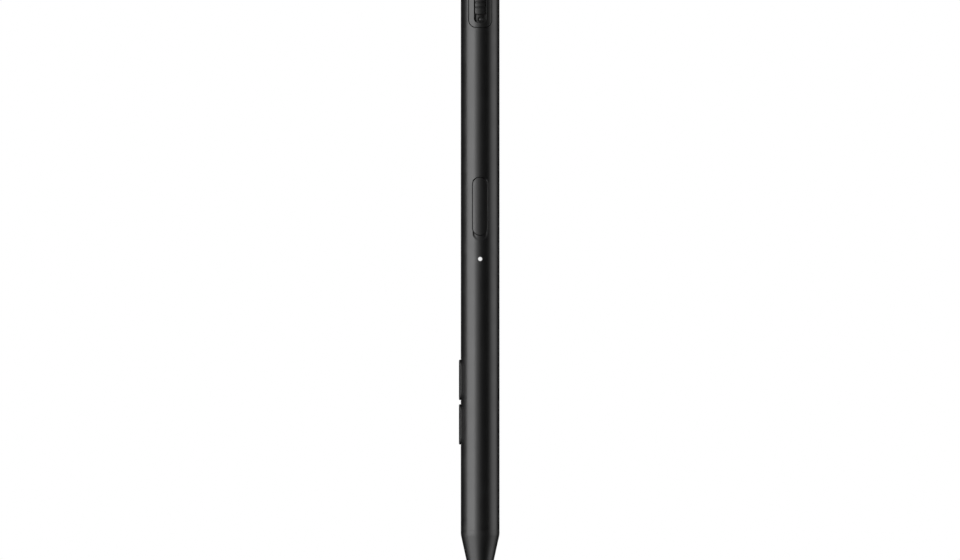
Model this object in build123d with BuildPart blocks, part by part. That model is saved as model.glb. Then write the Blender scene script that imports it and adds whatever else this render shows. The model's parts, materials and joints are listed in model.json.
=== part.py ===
"""A rechargeable stylus pen, lying on its side with its two buttons up and its status light to the front.

Lengths are millimetres. X runs along the pen from the nib to the tail, the front faces -Y and Z is up.
The origin is on the table under the middle of the pen. A station is a distance along the pen from the
nib's tip. Depths, heights and radii are measured from the pen's axis.
"""

import os
from math import atan2, cos, sin, tan

from build123d import *

# Overall size
TOTAL_LENGTH = 165.0
BARREL_DIAMETER = 9.5
BARREL_WALL = 0.7

# Room between pieces
SEAT_GAP = 0.02
GUIDE_GAP = 0.05
DROP_GAP = 0.1
END_GAP = 0.2

# Nose cone and the seats in its bore
NIB_EXPOSED = 3.6
CONE_LENGTH = 16.2
CONE_MOUTH_DIAMETER = 2.4
SHOULDER_RADIUS = 8.0
SHOULDER_LAND = 0.15
NOSE_SPIGOT_LENGTH = 6.2
MOUTH_BORE_LENGTH = 5.4
HOLDER_BORE_LENGTH = 3.0
NOSE_WALL = 1.13

# Nib, its holder and the pressure sensor behind them
NIB_TIP_RADIUS = 0.5
NIB_BASE_DIAMETER = 1.7
NIB_TAPER_LENGTH = 3.0
NIB_NECK_LENGTH = 1.5
NIB_STEM_DIAMETER = 1.5
NIB_STEM_LENGTH = 10.9
HOLDER_DIAMETER = 2.3
HOLDER_FLANGE_ROOM = 0.9
HOLDER_FLANGE_LENGTH = 1.0
ELECTRODE_LENGTH = 5.0
ELECTRODE_WALL = 0.4
GUIDE_LENGTH = 3.2
PAD_INSET = 0.2
PAD_LENGTH = 1.0
SENSOR_LENGTH = 4.0
SENSOR_PIN_DIAMETER = 0.5
SENSOR_PIN_LENGTH = 3.6
SENSOR_PIN_PITCH = 2.0

# Inner frame and main board
FRAME_WALL = 0.75
FRAME_BULKHEAD = 0.8
BOARD_THICKNESS = 0.8
BOARD_SIDE_ROOM = 0.65
SCREW_DIAMETER = 1.1
SCREW_HEAD_DIAMETER = 2.0
SCREW_HEAD_HEIGHT = 0.55
SCREW_DEPTH = 2.4
SCREW_BOSS_WALL = 0.7
SCREW_FRONT_OFFSET = 4.0
SCREW_REAR_OFFSET = 4.4

# Electronics on the main board
CHIP_SIZE = 4.0
CHIP_HEIGHT = 0.8
RADIO_SIZE = 3.0
RADIO_HEIGHT = 0.7
CHIP_OFFSET = 5.0
CHIP_SPACING = 1.4
SMALL_PART_LENGTH = 1.0
SMALL_PART_WIDTH = 0.5
SMALL_PART_HEIGHT = 0.5
SMALL_PART_PITCH = 1.5
SMALL_PART_ROW_PITCH = 5.4
SMALL_PARTS_PER_ROW = 5

# Side buttons and their switches
KEY_START = 41.8
KEY_LENGTH = 9.9
KEY_WIDTH = 4.2
KEY_SPACING = 1.0
KEY_PROUD = 0.46
KEY_EDGE = 0.28
KEY_TRAVEL = 0.3
KEY_FLANGE = 0.3
KEY_FLANGE_THICKNESS = 0.5
KEY_BOSS_DIAMETER = 2.0
TACT_LENGTH = 4.2
TACT_WIDTH = 3.2
TACT_HEIGHT = 1.3
PLUNGER_DIAMETER = 1.5
PLUNGER_PROUD = 0.5
PLUNGER_SUNK = 0.5

# Status light
LED_TO_COVER = 5.85
LED_LENGTH = 1.6
LED_DEPTH = 1.0
LIGHT_PIPE_DIAMETER = 1.0
LIGHT_PIPE_FLANGE_DIAMETER = 1.9
LIGHT_PIPE_FLANGE_THICKNESS = 0.35

# Charging port, its cover and the strap that holds the cover
COVER_START = 93.1
COVER_LENGTH = 14.1
COVER_WIDTH = 3.7
COVER_THICKNESS = 1.2
COVER_GAP = 0.08
COVER_PLUG_DEPTH = 0.9
COVER_PLUG_WALL = 0.55
SCOOP_REACH = 1.45
SCOOP_DEPTH = 0.2
PORT_TO_COVER_START = 5.55
PORT_OPENING_LENGTH = 8.34
PORT_OPENING_WIDTH = 2.56
PORT_SHELL_WALL = 0.3
PORT_MOUTH_ROOM = 0.35
PORT_BACK_ROOM = 0.75
PORT_EAR_LENGTH = 1.2
PORT_EAR_WIDTH = 1.0
PORT_EAR_PITCH = 3.0
PORT_EAR_THICKNESS = 0.2
PORT_BASE_THICKNESS = 1.0
PORT_TONGUE_LENGTH = 6.69
PORT_TONGUE_THICKNESS = 0.7
PORT_TONGUE_RECESS = 0.7
CONTACT_COUNT = 12
CONTACT_PITCH = 0.5
CONTACT_WIDTH = 0.25
CONTACT_THICKNESS = 0.08
CONTACT_BACK_ROOM = 1.2
STRAP_WIDTH = 1.8
STRAP_THICKNESS = 0.35
STRAP_BOND = 2.2
STRAP_REACH = 2.4
STRAP_PEG_DIAMETER = 1.0
STRAP_PEG_LENGTH = 1.3
STRAP_POST_WIDTH = 2.2

# Battery and the ribbon that joins the two boards
BATTERY_ROOM = 0.55
BATTERY_TERMINAL_DIAMETER = 2.4
BATTERY_TERMINAL_HEIGHT = 0.3
BATTERY_EDGE = 0.4
CRADLE_EDGE_DROP = 0.9
TAB_THICKNESS = 0.15
TAB_WIDTH = 0.35
TAB_FOOT = 1.0
RIBBON_THICKNESS = 0.15
RIBBON_WIDTH = 1.0
RIBBON_FOOT_LENGTH = 3.0
RIBBON_FOOT_DEPTH = 1.0

# Power switch
BEZEL_TO_TAIL = 9.1
BEZEL_LENGTH = 12.0
BEZEL_WIDTH = 5.7
BEZEL_RIM = 1.2
BEZEL_DEPTH = 1.85
BEZEL_FLOOR = 0.85
SLOT_WIDTH = 2.95
KNOB_TRAVEL = 1.7
KNOB_SIDE_GAP = 0.15
KNOB_RECESS = 0.25
KNOB_STEM_LENGTH = 3.0
KNOB_STEM_WIDTH = 1.1
KNOB_BARB = 0.3
GROOVE_COUNT = 4
GROOVE_PITCH = 1.27
GROOVE_RADIUS = 0.25
GROOVE_DEPTH = 0.2
MARK_PIT_DIAMETER = 1.2
MARK_PIT_DEPTH = 0.4
MARK_DIAMETER = 0.6
MARK_HEIGHT = 0.3
SWITCH_BODY_LENGTH = 6.6
SWITCH_BODY_DEPTH = 2.2
SWITCH_BODY_HEIGHT = 1.4
LEVER_LENGTH = 1.2
LEVER_WIDTH = 0.6
LEVER_REACH = 0.9
LEVER_SUNK = 0.8

# Tail cap, switch board and antenna
TAIL_CAP_LENGTH = 6.5
TAIL_SPIGOT_LENGTH = 2.2
TAIL_CAP_WALL = 0.85
TAIL_CAVITY_LENGTH = 2.0
TAIL_EDGE_RADIUS = 2.0
TAIL_SEAM_WIDTH = 0.6
TAIL_SEAM_DEPTH = 0.3
SWITCH_BOARD_TONGUE = 2.7
SWITCH_BOARD_TONGUE_WIDTH = 4.4
ANTENNA_LENGTH = 1.6
ANTENNA_WIDTH = 3.2
ANTENNA_HEIGHT = 0.8

# Radii and the stations of the nose
BARREL_RADIUS = BARREL_DIAMETER / 2
BORE_RADIUS = BARREL_RADIUS - BARREL_WALL
SPIGOT_RADIUS = BORE_RADIUS - SEAT_GAP
CONE_MOUTH_RADIUS = CONE_MOUTH_DIAMETER / 2
CONE_ANGLE = atan2(BARREL_RADIUS - CONE_MOUTH_RADIUS, CONE_LENGTH)
SHOULDER_TANGENT = SHOULDER_RADIUS * tan(CONE_ANGLE / 2)
SHOULDER = NIB_EXPOSED + CONE_LENGTH
NOSE_SEAM = SHOULDER + SHOULDER_TANGENT + SHOULDER_LAND
NOSE_SPIGOT_END = NOSE_SEAM + NOSE_SPIGOT_LENGTH
NIB_BORE_RADIUS = NIB_BASE_DIAMETER / 2 + DROP_GAP
HOLDER_RADIUS = HOLDER_DIAMETER / 2
HOLDER_BORE_RADIUS = HOLDER_RADIUS + DROP_GAP
ELECTRODE_BORE_RADIUS = HOLDER_RADIUS + 2 * DROP_GAP
ELECTRODE_RADIUS = ELECTRODE_BORE_RADIUS + ELECTRODE_WALL
CAVITY_RADIUS = SPIGOT_RADIUS - NOSE_WALL
HOLDER_FLANGE_RADIUS = CAVITY_RADIUS - HOLDER_FLANGE_ROOM
PAD_RADIUS = HOLDER_FLANGE_RADIUS - PAD_INSET
HOLDER_BORE_START = NIB_EXPOSED + MOUTH_BORE_LENGTH
ELECTRODE_START = HOLDER_BORE_START + HOLDER_BORE_LENGTH
GUIDE_START = ELECTRODE_START + ELECTRODE_LENGTH
GUIDE_END = GUIDE_START + GUIDE_LENGTH
FLANGE_START = GUIDE_END + DROP_GAP
FLANGE_END = FLANGE_START + HOLDER_FLANGE_LENGTH
PAD_END = FLANGE_END + PAD_LENGTH
SENSOR_END = PAD_END + SENSOR_LENGTH
NIB_NECK_END = NIB_EXPOSED + NIB_NECK_LENGTH
NIB_END = NIB_NECK_END + NIB_STEM_LENGTH
HOLDER_START = HOLDER_BORE_START + 2 * END_GAP

# Stations and levels of the frame and boards
FRAME_RADIUS = BORE_RADIUS - DROP_GAP
FRAME_INNER_RADIUS = FRAME_RADIUS - FRAME_WALL
FRAME_START = max(NOSE_SPIGOT_END, SENSOR_END) + END_GAP
BOARD_TOP = BOARD_THICKNESS / 2
BOARD_HALF_WIDTH = BORE_RADIUS - BOARD_SIDE_ROOM
BOARD_START = FRAME_START + FRAME_BULKHEAD
KEY_STARTS = [KEY_START, KEY_START + KEY_LENGTH + KEY_SPACING]
KEY_CENTRES = [start + KEY_LENGTH / 2 for start in KEY_STARTS]
KEYS_END = KEY_STARTS[-1] + KEY_LENGTH
TACT_TOP = BOARD_TOP + TACT_HEIGHT
PLUNGER_TOP = TACT_TOP + PLUNGER_PROUD
KEY_FLANGE_RADIUS = BORE_RADIUS - DROP_GAP
LED_STATION = COVER_START - LED_TO_COVER
CHIP_CENTRE = KEYS_END + CHIP_OFFSET
RADIO_CENTRE = CHIP_CENTRE + (CHIP_SIZE + RADIO_SIZE) / 2 + CHIP_SPACING
SCREW_STATIONS = [BOARD_START + SCREW_FRONT_OFFSET, LED_STATION - SCREW_REAR_OFFSET]

# Stations and depths of the port
COVER_CENTRE = COVER_START + COVER_LENGTH / 2
COVER_END = COVER_START + COVER_LENGTH
COVER_UNDER = BARREL_RADIUS - COVER_THICKNESS
PORT_CENTRE = COVER_START + PORT_TO_COVER_START
PORT_LENGTH = PORT_OPENING_LENGTH + 2 * PORT_SHELL_WALL
PORT_WIDTH = PORT_OPENING_WIDTH + 2 * PORT_SHELL_WALL
PORT_START = PORT_CENTRE - PORT_LENGTH / 2
PORT_END = PORT_CENTRE + PORT_LENGTH / 2
PORT_MOUTH = COVER_UNDER - PORT_MOUTH_ROOM
PORT_BACK = BORE_RADIUS - PORT_BACK_ROOM
TONGUE_TIP = PORT_MOUTH - PORT_TONGUE_RECESS
TONGUE_REACH = TONGUE_TIP + PORT_BACK - PORT_BASE_THICKNESS
CONTACT_LENGTH = TONGUE_REACH - END_GAP - CONTACT_BACK_ROOM
COVER_PLUG_LENGTH = PORT_OPENING_LENGTH - 4 * DROP_GAP
COVER_PLUG_WIDTH = PORT_OPENING_WIDTH - 4 * DROP_GAP
BOARD_END = PORT_START - END_GAP
STRAP_UNDER = COVER_UNDER - STRAP_THICKNESS
STRAP_STATION = COVER_END + STRAP_REACH
STRAP_END = STRAP_STATION + STRAP_POST_WIDTH / 2

# Stations of the switch, battery and tail
BEZEL_END = TOTAL_LENGTH - BEZEL_TO_TAIL
BEZEL_START = BEZEL_END - BEZEL_LENGTH
BEZEL_CENTRE = (BEZEL_START + BEZEL_END) / 2
BEZEL_UNDER = BARREL_RADIUS - BEZEL_DEPTH
BEZEL_CORNER = BEZEL_WIDTH / 3
SLOT_FLOOR = BEZEL_UNDER + BEZEL_FLOOR
SLOT_LENGTH = BEZEL_LENGTH - 2 * BEZEL_RIM
SLOT_START = BEZEL_START + BEZEL_RIM
SLOT_CORNER = SLOT_WIDTH / 3
KNOB_LENGTH = SLOT_LENGTH - KNOB_TRAVEL - 2 * END_GAP
KNOB_WIDTH = SLOT_WIDTH - 2 * KNOB_SIDE_GAP
KNOB_CORNER = KNOB_WIDTH / 4
KNOB_CENTRE = SLOT_START + SLOT_LENGTH - END_GAP - KNOB_LENGTH / 2
KNOB_MIDDLE = KNOB_CENTRE - KNOB_TRAVEL / 2
KNOB_UNDER = SLOT_FLOOR + GUIDE_GAP
STEM_END = BEZEL_UNDER - DROP_GAP - KNOB_BARB
SWITCH_FRONT = STEM_END - DROP_GAP
SWITCH_BACK = SWITCH_FRONT - SWITCH_BODY_DEPTH
MARK_STATION = SLOT_START + MARK_PIT_DIAMETER / 2 + END_GAP
SWITCH_BOARD_START = BEZEL_START - FRAME_BULKHEAD
BATTERY_FRONT = STRAP_END + FRAME_BULKHEAD + 2 * DROP_GAP
BATTERY_START = BATTERY_FRONT + BATTERY_TERMINAL_HEIGHT
BATTERY_END = SWITCH_BOARD_START - FRAME_BULKHEAD - 2 * DROP_GAP
BATTERY_RADIUS = BORE_RADIUS - BATTERY_ROOM
RIBBON_INNER = BATTERY_RADIUS + GUIDE_GAP
TAIL_SEAM = TOTAL_LENGTH - TAIL_CAP_LENGTH
TAIL_SPIGOT_START = TAIL_SEAM - TAIL_SPIGOT_LENGTH
TAIL_CAVITY_RADIUS = SPIGOT_RADIUS - TAIL_CAP_WALL
FRAME_END = TAIL_SPIGOT_START - END_GAP

# Working planes: across the front, over the top and square to the pen
AXIS_START = (-TOTAL_LENGTH / 2, 0, BARREL_RADIUS)
PEN_AXIS = Axis(AXIS_START, (1, 0, 0))
FRONT = Plane(AXIS_START, x_dir=(1, 0, 0), z_dir=(0, -1, 0))
TOP = Plane(AXIS_START, x_dir=(1, 0, 0), z_dir=(0, 0, 1))
pieces = {}


def square_to_pen(station):
    """The plane across the pen at a station, with the back to its right and up the same way."""
    return Plane((station - TOTAL_LENGTH / 2, 0, BARREL_RADIUS), x_dir=(0, 1, 0), z_dir=(1, 0, 0))


def block(stations, across, heights, mode=Mode.ADD):
    """A box between two stations, two places from front to back and two heights."""
    with BuildSketch(square_to_pen(stations[0])) as section:
        with Locations(((across[0] + across[1]) / 2, (heights[0] + heights[1]) / 2)):
            Rectangle(across[1] - across[0], heights[1] - heights[0])
    extrude(section.sketch, amount=stations[1] - stations[0], mode=mode)


def disc(start, end, radius, mode=Mode.ADD):
    """A round length of the pen's axis."""
    with BuildSketch(square_to_pen(start)) as section:
        Circle(radius)
    extrude(section.sketch, amount=end - start, mode=mode)


def ring(start, end, outer, inner):
    """A tube around the pen's axis."""
    with BuildSketch(square_to_pen(start)) as section:
        Circle(outer)
        Circle(inner, mode=Mode.SUBTRACT)
    extrude(section.sketch, amount=end - start)


def trough(start, end, outer, inner, rim):
    """The part of a tube that lies below a rim height."""
    with BuildSketch(square_to_pen(start)) as section:
        Circle(outer)
        Circle(inner, mode=Mode.SUBTRACT)
        with Locations((0, rim)):
            Rectangle(BARREL_DIAMETER, BARREL_DIAMETER, align=(Align.CENTER, Align.MIN), mode=Mode.SUBTRACT)
    extrude(section.sketch, amount=end - start)


def bulkhead(start, end, radius, rim):
    """A solid wall across the pen below a rim height."""
    with BuildSketch(square_to_pen(start)) as section:
        Circle(radius)
        with Locations((0, rim)):
            Rectangle(BARREL_DIAMETER, BARREL_DIAMETER, align=(Align.CENTER, Align.MIN), mode=Mode.SUBTRACT)
    extrude(section.sketch, amount=end - start)


def front_slot(centre, length, width, low, high, mode=Mode.ADD):
    """A round-ended prism on the front, between two depths from the axis."""
    with BuildSketch(FRONT.offset(low)) as section:
        with Locations((centre, 0)):
            SlotOverall(length, width)
    extrude(section.sketch, amount=high - low, mode=mode)


def front_oblong(centre, length, width, corner, low, high, mode=Mode.ADD):
    """A prism with rounded corners on the front, between two depths from the axis."""
    with BuildSketch(FRONT.offset(low)) as section:
        with Locations((centre, 0)):
            RectangleRounded(length, width, corner)
    extrude(section.sketch, amount=high - low, mode=mode)


def front_pin(station, radius, low, high, mode=Mode.ADD):
    """A round prism on the front, between two depths from the axis."""
    with BuildSketch(FRONT.offset(low)) as section:
        with Locations((station, 0)):
            Circle(radius)
    extrude(section.sketch, amount=high - low, mode=mode)


def top_pin(station, radius, low, high, mode=Mode.ADD):
    """An upright round prism between two heights."""
    with BuildSketch(TOP.offset(low)) as section:
        with Locations((station, 0)):
            Circle(radius)
    extrude(section.sketch, amount=high - low, mode=mode)


def key_outline(centre, length, width, low, high, mode=Mode.ADD):
    """An upright round-ended prism between two heights."""
    with BuildSketch(TOP.offset(low)) as section:
        with Locations((centre, 0)):
            SlotOverall(length, width)
    extrude(section.sketch, amount=high - low, mode=mode)


# Nail scoop, a dish of even depth that runs out just past the cover's nib end
SCOOP_DISH_RADIUS = (SCOOP_REACH**2 + SCOOP_DEPTH**2) / (2 * SCOOP_DEPTH)
with BuildPart() as scoop:
    with BuildSketch(FRONT):
        with Locations((COVER_START, BARREL_RADIUS + SCOOP_DISH_RADIUS - SCOOP_DEPTH)):
            Circle(SCOOP_DISH_RADIUS)
    revolve(axis=PEN_AXIS)
    front_slot(
        COVER_CENTRE, COVER_LENGTH + 2 * SCOOP_REACH, COVER_WIDTH, 0, BARREL_DIAMETER, Mode.INTERSECT
    )

# Barrel, a drawn tube with windows for the buttons, the light, the port and the switch
with BuildPart() as barrel:
    ring(NOSE_SEAM, TAIL_SEAM, BARREL_RADIUS, BORE_RADIUS)
    for centre in KEY_CENTRES:
        key_outline(
            centre, KEY_LENGTH + 2 * DROP_GAP, KEY_WIDTH + 2 * DROP_GAP, 0, BARREL_DIAMETER, Mode.SUBTRACT
        )
    front_pin(LED_STATION, LIGHT_PIPE_DIAMETER / 2 + SEAT_GAP, 0, BARREL_DIAMETER, Mode.SUBTRACT)
    front_slot(
        COVER_CENTRE, COVER_LENGTH + 2 * COVER_GAP, COVER_WIDTH + 2 * COVER_GAP, 0, BARREL_DIAMETER, Mode.SUBTRACT
    )
    front_oblong(
        BEZEL_CENTRE,
        BEZEL_LENGTH + 2 * SEAT_GAP,
        BEZEL_WIDTH + 2 * SEAT_GAP,
        BEZEL_CORNER + SEAT_GAP,
        0,
        BARREL_DIAMETER,
        Mode.SUBTRACT,
    )
    add(scoop.part, mode=Mode.SUBTRACT)
pieces["barrel"] = barrel

# Nose cone, straight-sided with a soft shoulder and a stepped bore
with BuildPart() as nose_cone:
    with BuildSketch(FRONT):
        with BuildLine():
            Polyline(
                (SHOULDER + SHOULDER_TANGENT, BARREL_RADIUS),
                (NOSE_SEAM, BARREL_RADIUS),
                (NOSE_SEAM, SPIGOT_RADIUS),
                (NOSE_SPIGOT_END, SPIGOT_RADIUS),
                (NOSE_SPIGOT_END, CAVITY_RADIUS),
                (GUIDE_START, CAVITY_RADIUS),
                (GUIDE_START, ELECTRODE_RADIUS),
                (ELECTRODE_START, ELECTRODE_RADIUS),
                (ELECTRODE_START, HOLDER_BORE_RADIUS),
                (HOLDER_BORE_START, HOLDER_BORE_RADIUS),
                (HOLDER_BORE_START, NIB_BORE_RADIUS),
                (NIB_EXPOSED, NIB_BORE_RADIUS),
                (NIB_EXPOSED, CONE_MOUTH_RADIUS),
                (
                    SHOULDER - SHOULDER_TANGENT * cos(CONE_ANGLE),
                    BARREL_RADIUS - SHOULDER_TANGENT * sin(CONE_ANGLE),
                ),
            )
            TangentArc(
                (
                    SHOULDER - SHOULDER_TANGENT * cos(CONE_ANGLE),
                    BARREL_RADIUS - SHOULDER_TANGENT * sin(CONE_ANGLE),
                ),
                (SHOULDER + SHOULDER_TANGENT, BARREL_RADIUS),
                tangent=(cos(CONE_ANGLE), sin(CONE_ANGLE)),
            )
        make_face()
    revolve(axis=PEN_AXIS)
pieces["nose_cone"] = nose_cone

# Nib, a round-tipped taper with a stem
with BuildPart() as nib:
    with BuildSketch(FRONT):
        with BuildLine():
            RadiusArc((0, 0), (NIB_TIP_RADIUS, NIB_TIP_RADIUS), NIB_TIP_RADIUS)
            Polyline(
                (NIB_TIP_RADIUS, NIB_TIP_RADIUS),
                (NIB_TAPER_LENGTH, NIB_BASE_DIAMETER / 2),
                (NIB_NECK_END, NIB_BASE_DIAMETER / 2),
                (NIB_NECK_END, NIB_STEM_DIAMETER / 2),
                (NIB_END, NIB_STEM_DIAMETER / 2),
                (NIB_END, 0),
                (0, 0),
            )
        make_face()
    revolve(axis=PEN_AXIS)
pieces["nib"] = nib

# Nib holder, a metal socket with a flange that presses on the pad
with BuildPart() as nib_holder:
    disc(HOLDER_START, FLANGE_END, HOLDER_RADIUS)
    disc(FLANGE_START, FLANGE_END, HOLDER_FLANGE_RADIUS)
    disc(HOLDER_START, NIB_END + END_GAP, NIB_STEM_DIAMETER / 2 + SEAT_GAP, Mode.SUBTRACT)
pieces["nib_holder"] = nib_holder

# Tilt electrode, a ring around the holder
with BuildPart() as tilt_electrode:
    ring(
        ELECTRODE_START + SEAT_GAP, GUIDE_START - SEAT_GAP, ELECTRODE_RADIUS - SEAT_GAP, ELECTRODE_BORE_RADIUS
    )
pieces["tilt_electrode"] = tilt_electrode

# Nib guide, the bush that the holder slides in
with BuildPart() as nib_guide:
    ring(GUIDE_START, GUIDE_END, CAVITY_RADIUS - SEAT_GAP, HOLDER_RADIUS + GUIDE_GAP)
pieces["nib_guide"] = nib_guide

# Pressure pad, a rubber disc between the holder and the sensor
with BuildPart() as pressure_pad:
    disc(FLANGE_END, PAD_END, PAD_RADIUS)
pieces["pressure_pad"] = pressure_pad

# Pressure sensor, a capsule with two pins on the board
with BuildPart() as pressure_sensor:
    disc(PAD_END, SENSOR_END, CAVITY_RADIUS - SEAT_GAP)
    with BuildSketch(square_to_pen(SENSOR_END)):
        with Locations((0, BOARD_TOP + SENSOR_PIN_DIAMETER / 2)):
            with GridLocations(SENSOR_PIN_PITCH, 0, 2, 1):
                Circle(SENSOR_PIN_DIAMETER / 2)
    extrude(amount=SENSOR_PIN_LENGTH)
pieces["pressure_sensor"] = pressure_sensor

# Inner frame, a trough with bulkheads, bosses and seats that slides into the barrel from the tail
SCREW_BOSS_RADIUS = SCREW_DIAMETER / 2 + SCREW_BOSS_WALL
SCREW_HOLE_RADIUS = SCREW_DIAMETER / 2 + SEAT_GAP
PORT_POCKET_FLOOR = -PORT_WIDTH / 2 - SEAT_GAP
with BuildPart() as inner_frame:
    bulkhead(SENSOR_END + DROP_GAP, FRAME_START, CAVITY_RADIUS - DROP_GAP, -BOARD_TOP)
    bulkhead(FRAME_START, BOARD_START, FRAME_RADIUS, -BOARD_TOP)
    trough(BOARD_START, BATTERY_START - DROP_GAP, FRAME_RADIUS, FRAME_INNER_RADIUS, -BOARD_TOP)
    bulkhead(PORT_START - FRAME_BULKHEAD, PORT_END + FRAME_BULKHEAD, FRAME_RADIUS, -BOARD_TOP)
    bulkhead(STRAP_END + DROP_GAP, BATTERY_FRONT - DROP_GAP, FRAME_RADIUS, -BOARD_TOP)
    trough(
        BATTERY_START - DROP_GAP,
        BATTERY_END + DROP_GAP,
        FRAME_RADIUS,
        BATTERY_RADIUS + DROP_GAP,
        -BOARD_TOP - CRADLE_EDGE_DROP,
    )
    bulkhead(BATTERY_END + DROP_GAP, SWITCH_BOARD_START, FRAME_RADIUS, -BOARD_TOP)
    trough(SWITCH_BOARD_START, FRAME_END, FRAME_RADIUS, FRAME_INNER_RADIUS, -BOARD_TOP)
    for station in SCREW_STATIONS:
        top_pin(station, SCREW_BOSS_RADIUS, -FRAME_RADIUS, -BOARD_TOP)
    block(
        (STRAP_STATION - STRAP_POST_WIDTH / 2, STRAP_END + DROP_GAP),
        (-STRAP_UNDER, -STRAP_UNDER + STRAP_PEG_LENGTH),
        (-FRAME_RADIUS, STRAP_WIDTH / 2),
    )
    disc(SENSOR_END, TAIL_SEAM, FRAME_RADIUS, Mode.INTERSECT)
    for station in SCREW_STATIONS:
        top_pin(station, SCREW_HOLE_RADIUS, -SCREW_DEPTH - DROP_GAP, 0, Mode.SUBTRACT)
    block(
        (PORT_START - DROP_GAP, PORT_END + DROP_GAP),
        (-BARREL_RADIUS, PORT_BACK + DROP_GAP),
        (PORT_POCKET_FLOOR, 0),
        Mode.SUBTRACT,
    )
    block(
        (COVER_START - END_GAP, STRAP_END + DROP_GAP),
        (-BARREL_RADIUS, -STRAP_UNDER),
        (-COVER_WIDTH / 2 - END_GAP, BARREL_RADIUS),
        Mode.SUBTRACT,
    )
    front_pin(
        STRAP_STATION,
        STRAP_PEG_DIAMETER / 2 + SEAT_GAP,
        STRAP_UNDER - STRAP_PEG_LENGTH - DROP_GAP,
        STRAP_UNDER,
        Mode.SUBTRACT,
    )
    front_pin(
        LED_STATION, LIGHT_PIPE_FLANGE_DIAMETER / 2 + END_GAP, BOARD_HALF_WIDTH - END_GAP, BARREL_RADIUS, Mode.SUBTRACT
    )
    block(
        (BEZEL_START - END_GAP, BEZEL_END + END_GAP),
        (-BARREL_RADIUS, DROP_GAP - BEZEL_UNDER),
        (-BARREL_RADIUS, BARREL_RADIUS),
        Mode.SUBTRACT,
    )
pieces["inner_frame"] = inner_frame

# Main board, screwed to the frame, with a notch for the light
with BuildPart() as main_board:
    block((BOARD_START, BOARD_END), (-BOARD_HALF_WIDTH, BOARD_HALF_WIDTH), (-BOARD_TOP, BOARD_TOP))
    for station in SCREW_STATIONS:
        top_pin(station, SCREW_DIAMETER / 2 + GUIDE_GAP, -BOARD_TOP, BOARD_TOP, Mode.SUBTRACT)
    block(
        (LED_STATION - LED_LENGTH / 2 - DROP_GAP, LED_STATION + LED_LENGTH / 2 + DROP_GAP),
        (-BOARD_HALF_WIDTH, LED_DEPTH + DROP_GAP - BOARD_HALF_WIDTH),
        (-BOARD_TOP, BOARD_TOP),
        Mode.SUBTRACT,
    )
pieces["main_board"] = main_board

# Board screws
with BuildPart() as board_screws:
    for station in SCREW_STATIONS:
        top_pin(station, SCREW_DIAMETER / 2, -SCREW_DEPTH, BOARD_TOP)
        top_pin(station, SCREW_HEAD_DIAMETER / 2, BOARD_TOP, BOARD_TOP + SCREW_HEAD_HEIGHT)
pieces["board_screws"] = board_screws

# Controller chip and radio chip
with BuildPart() as controller_chip:
    block(
        (CHIP_CENTRE - CHIP_SIZE / 2, CHIP_CENTRE + CHIP_SIZE / 2),
        (-CHIP_SIZE / 2, CHIP_SIZE / 2),
        (BOARD_TOP, BOARD_TOP + CHIP_HEIGHT),
    )
pieces["controller_chip"] = controller_chip
with BuildPart() as radio_chip:
    block(
        (RADIO_CENTRE - RADIO_SIZE / 2, RADIO_CENTRE + RADIO_SIZE / 2),
        (-RADIO_SIZE / 2, RADIO_SIZE / 2),
        (BOARD_TOP, BOARD_TOP + RADIO_HEIGHT),
    )
pieces["radio_chip"] = radio_chip

# Small parts along both edges of the board, beside the controller chip
with BuildPart() as board_components:
    with BuildSketch(TOP.offset(BOARD_TOP)):
        with Locations((CHIP_CENTRE, 0)):
            with GridLocations(SMALL_PART_PITCH, SMALL_PART_ROW_PITCH, SMALL_PARTS_PER_ROW, 2):
                Rectangle(SMALL_PART_LENGTH, SMALL_PART_WIDTH)
    extrude(amount=SMALL_PART_HEIGHT)
pieces["board_components"] = board_components

# Side buttons, each with its switch below and the switch's plunger
PLUNGER_BOTTOM = TACT_TOP - PLUNGER_SUNK
for name, centre in zip(["lower", "upper"], KEY_CENTRES):
    with BuildPart() as flange:
        key_outline(centre, KEY_LENGTH + 2 * KEY_FLANGE, KEY_WIDTH + 2 * KEY_FLANGE, 0, BARREL_DIAMETER)
        disc(0, TOTAL_LENGTH, KEY_FLANGE_RADIUS, Mode.INTERSECT)
    with BuildPart() as button:
        key_outline(centre, KEY_LENGTH, KEY_WIDTH, 0, BARREL_DIAMETER)
        disc(0, TOTAL_LENGTH, BARREL_RADIUS + KEY_PROUD, Mode.INTERSECT)
        fillet(button.faces().filter_by(GeomType.CYLINDER).sort_by(Axis.Z)[-1].edges(), KEY_EDGE)
        add(flange.part)
        disc(0, TOTAL_LENGTH, KEY_FLANGE_RADIUS - KEY_FLANGE_THICKNESS, Mode.SUBTRACT)
        top_pin(centre, KEY_BOSS_DIAMETER / 2, PLUNGER_TOP, KEY_FLANGE_RADIUS)
    pieces[f"{name}_button"] = button
    with BuildPart() as tact_switch:
        block(
            (centre - TACT_LENGTH / 2, centre + TACT_LENGTH / 2),
            (-TACT_WIDTH / 2, TACT_WIDTH / 2),
            (BOARD_TOP, TACT_TOP),
        )
        top_pin(
            centre,
            PLUNGER_DIAMETER / 2 + GUIDE_GAP,
            PLUNGER_BOTTOM - KEY_TRAVEL - DROP_GAP,
            TACT_TOP,
            Mode.SUBTRACT,
        )
    pieces[f"{name}_tact_switch"] = tact_switch
    with BuildPart() as plunger:
        top_pin(centre, PLUNGER_DIAMETER / 2, PLUNGER_BOTTOM, PLUNGER_TOP)
    pieces[f"{name}_plunger"] = plunger

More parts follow.
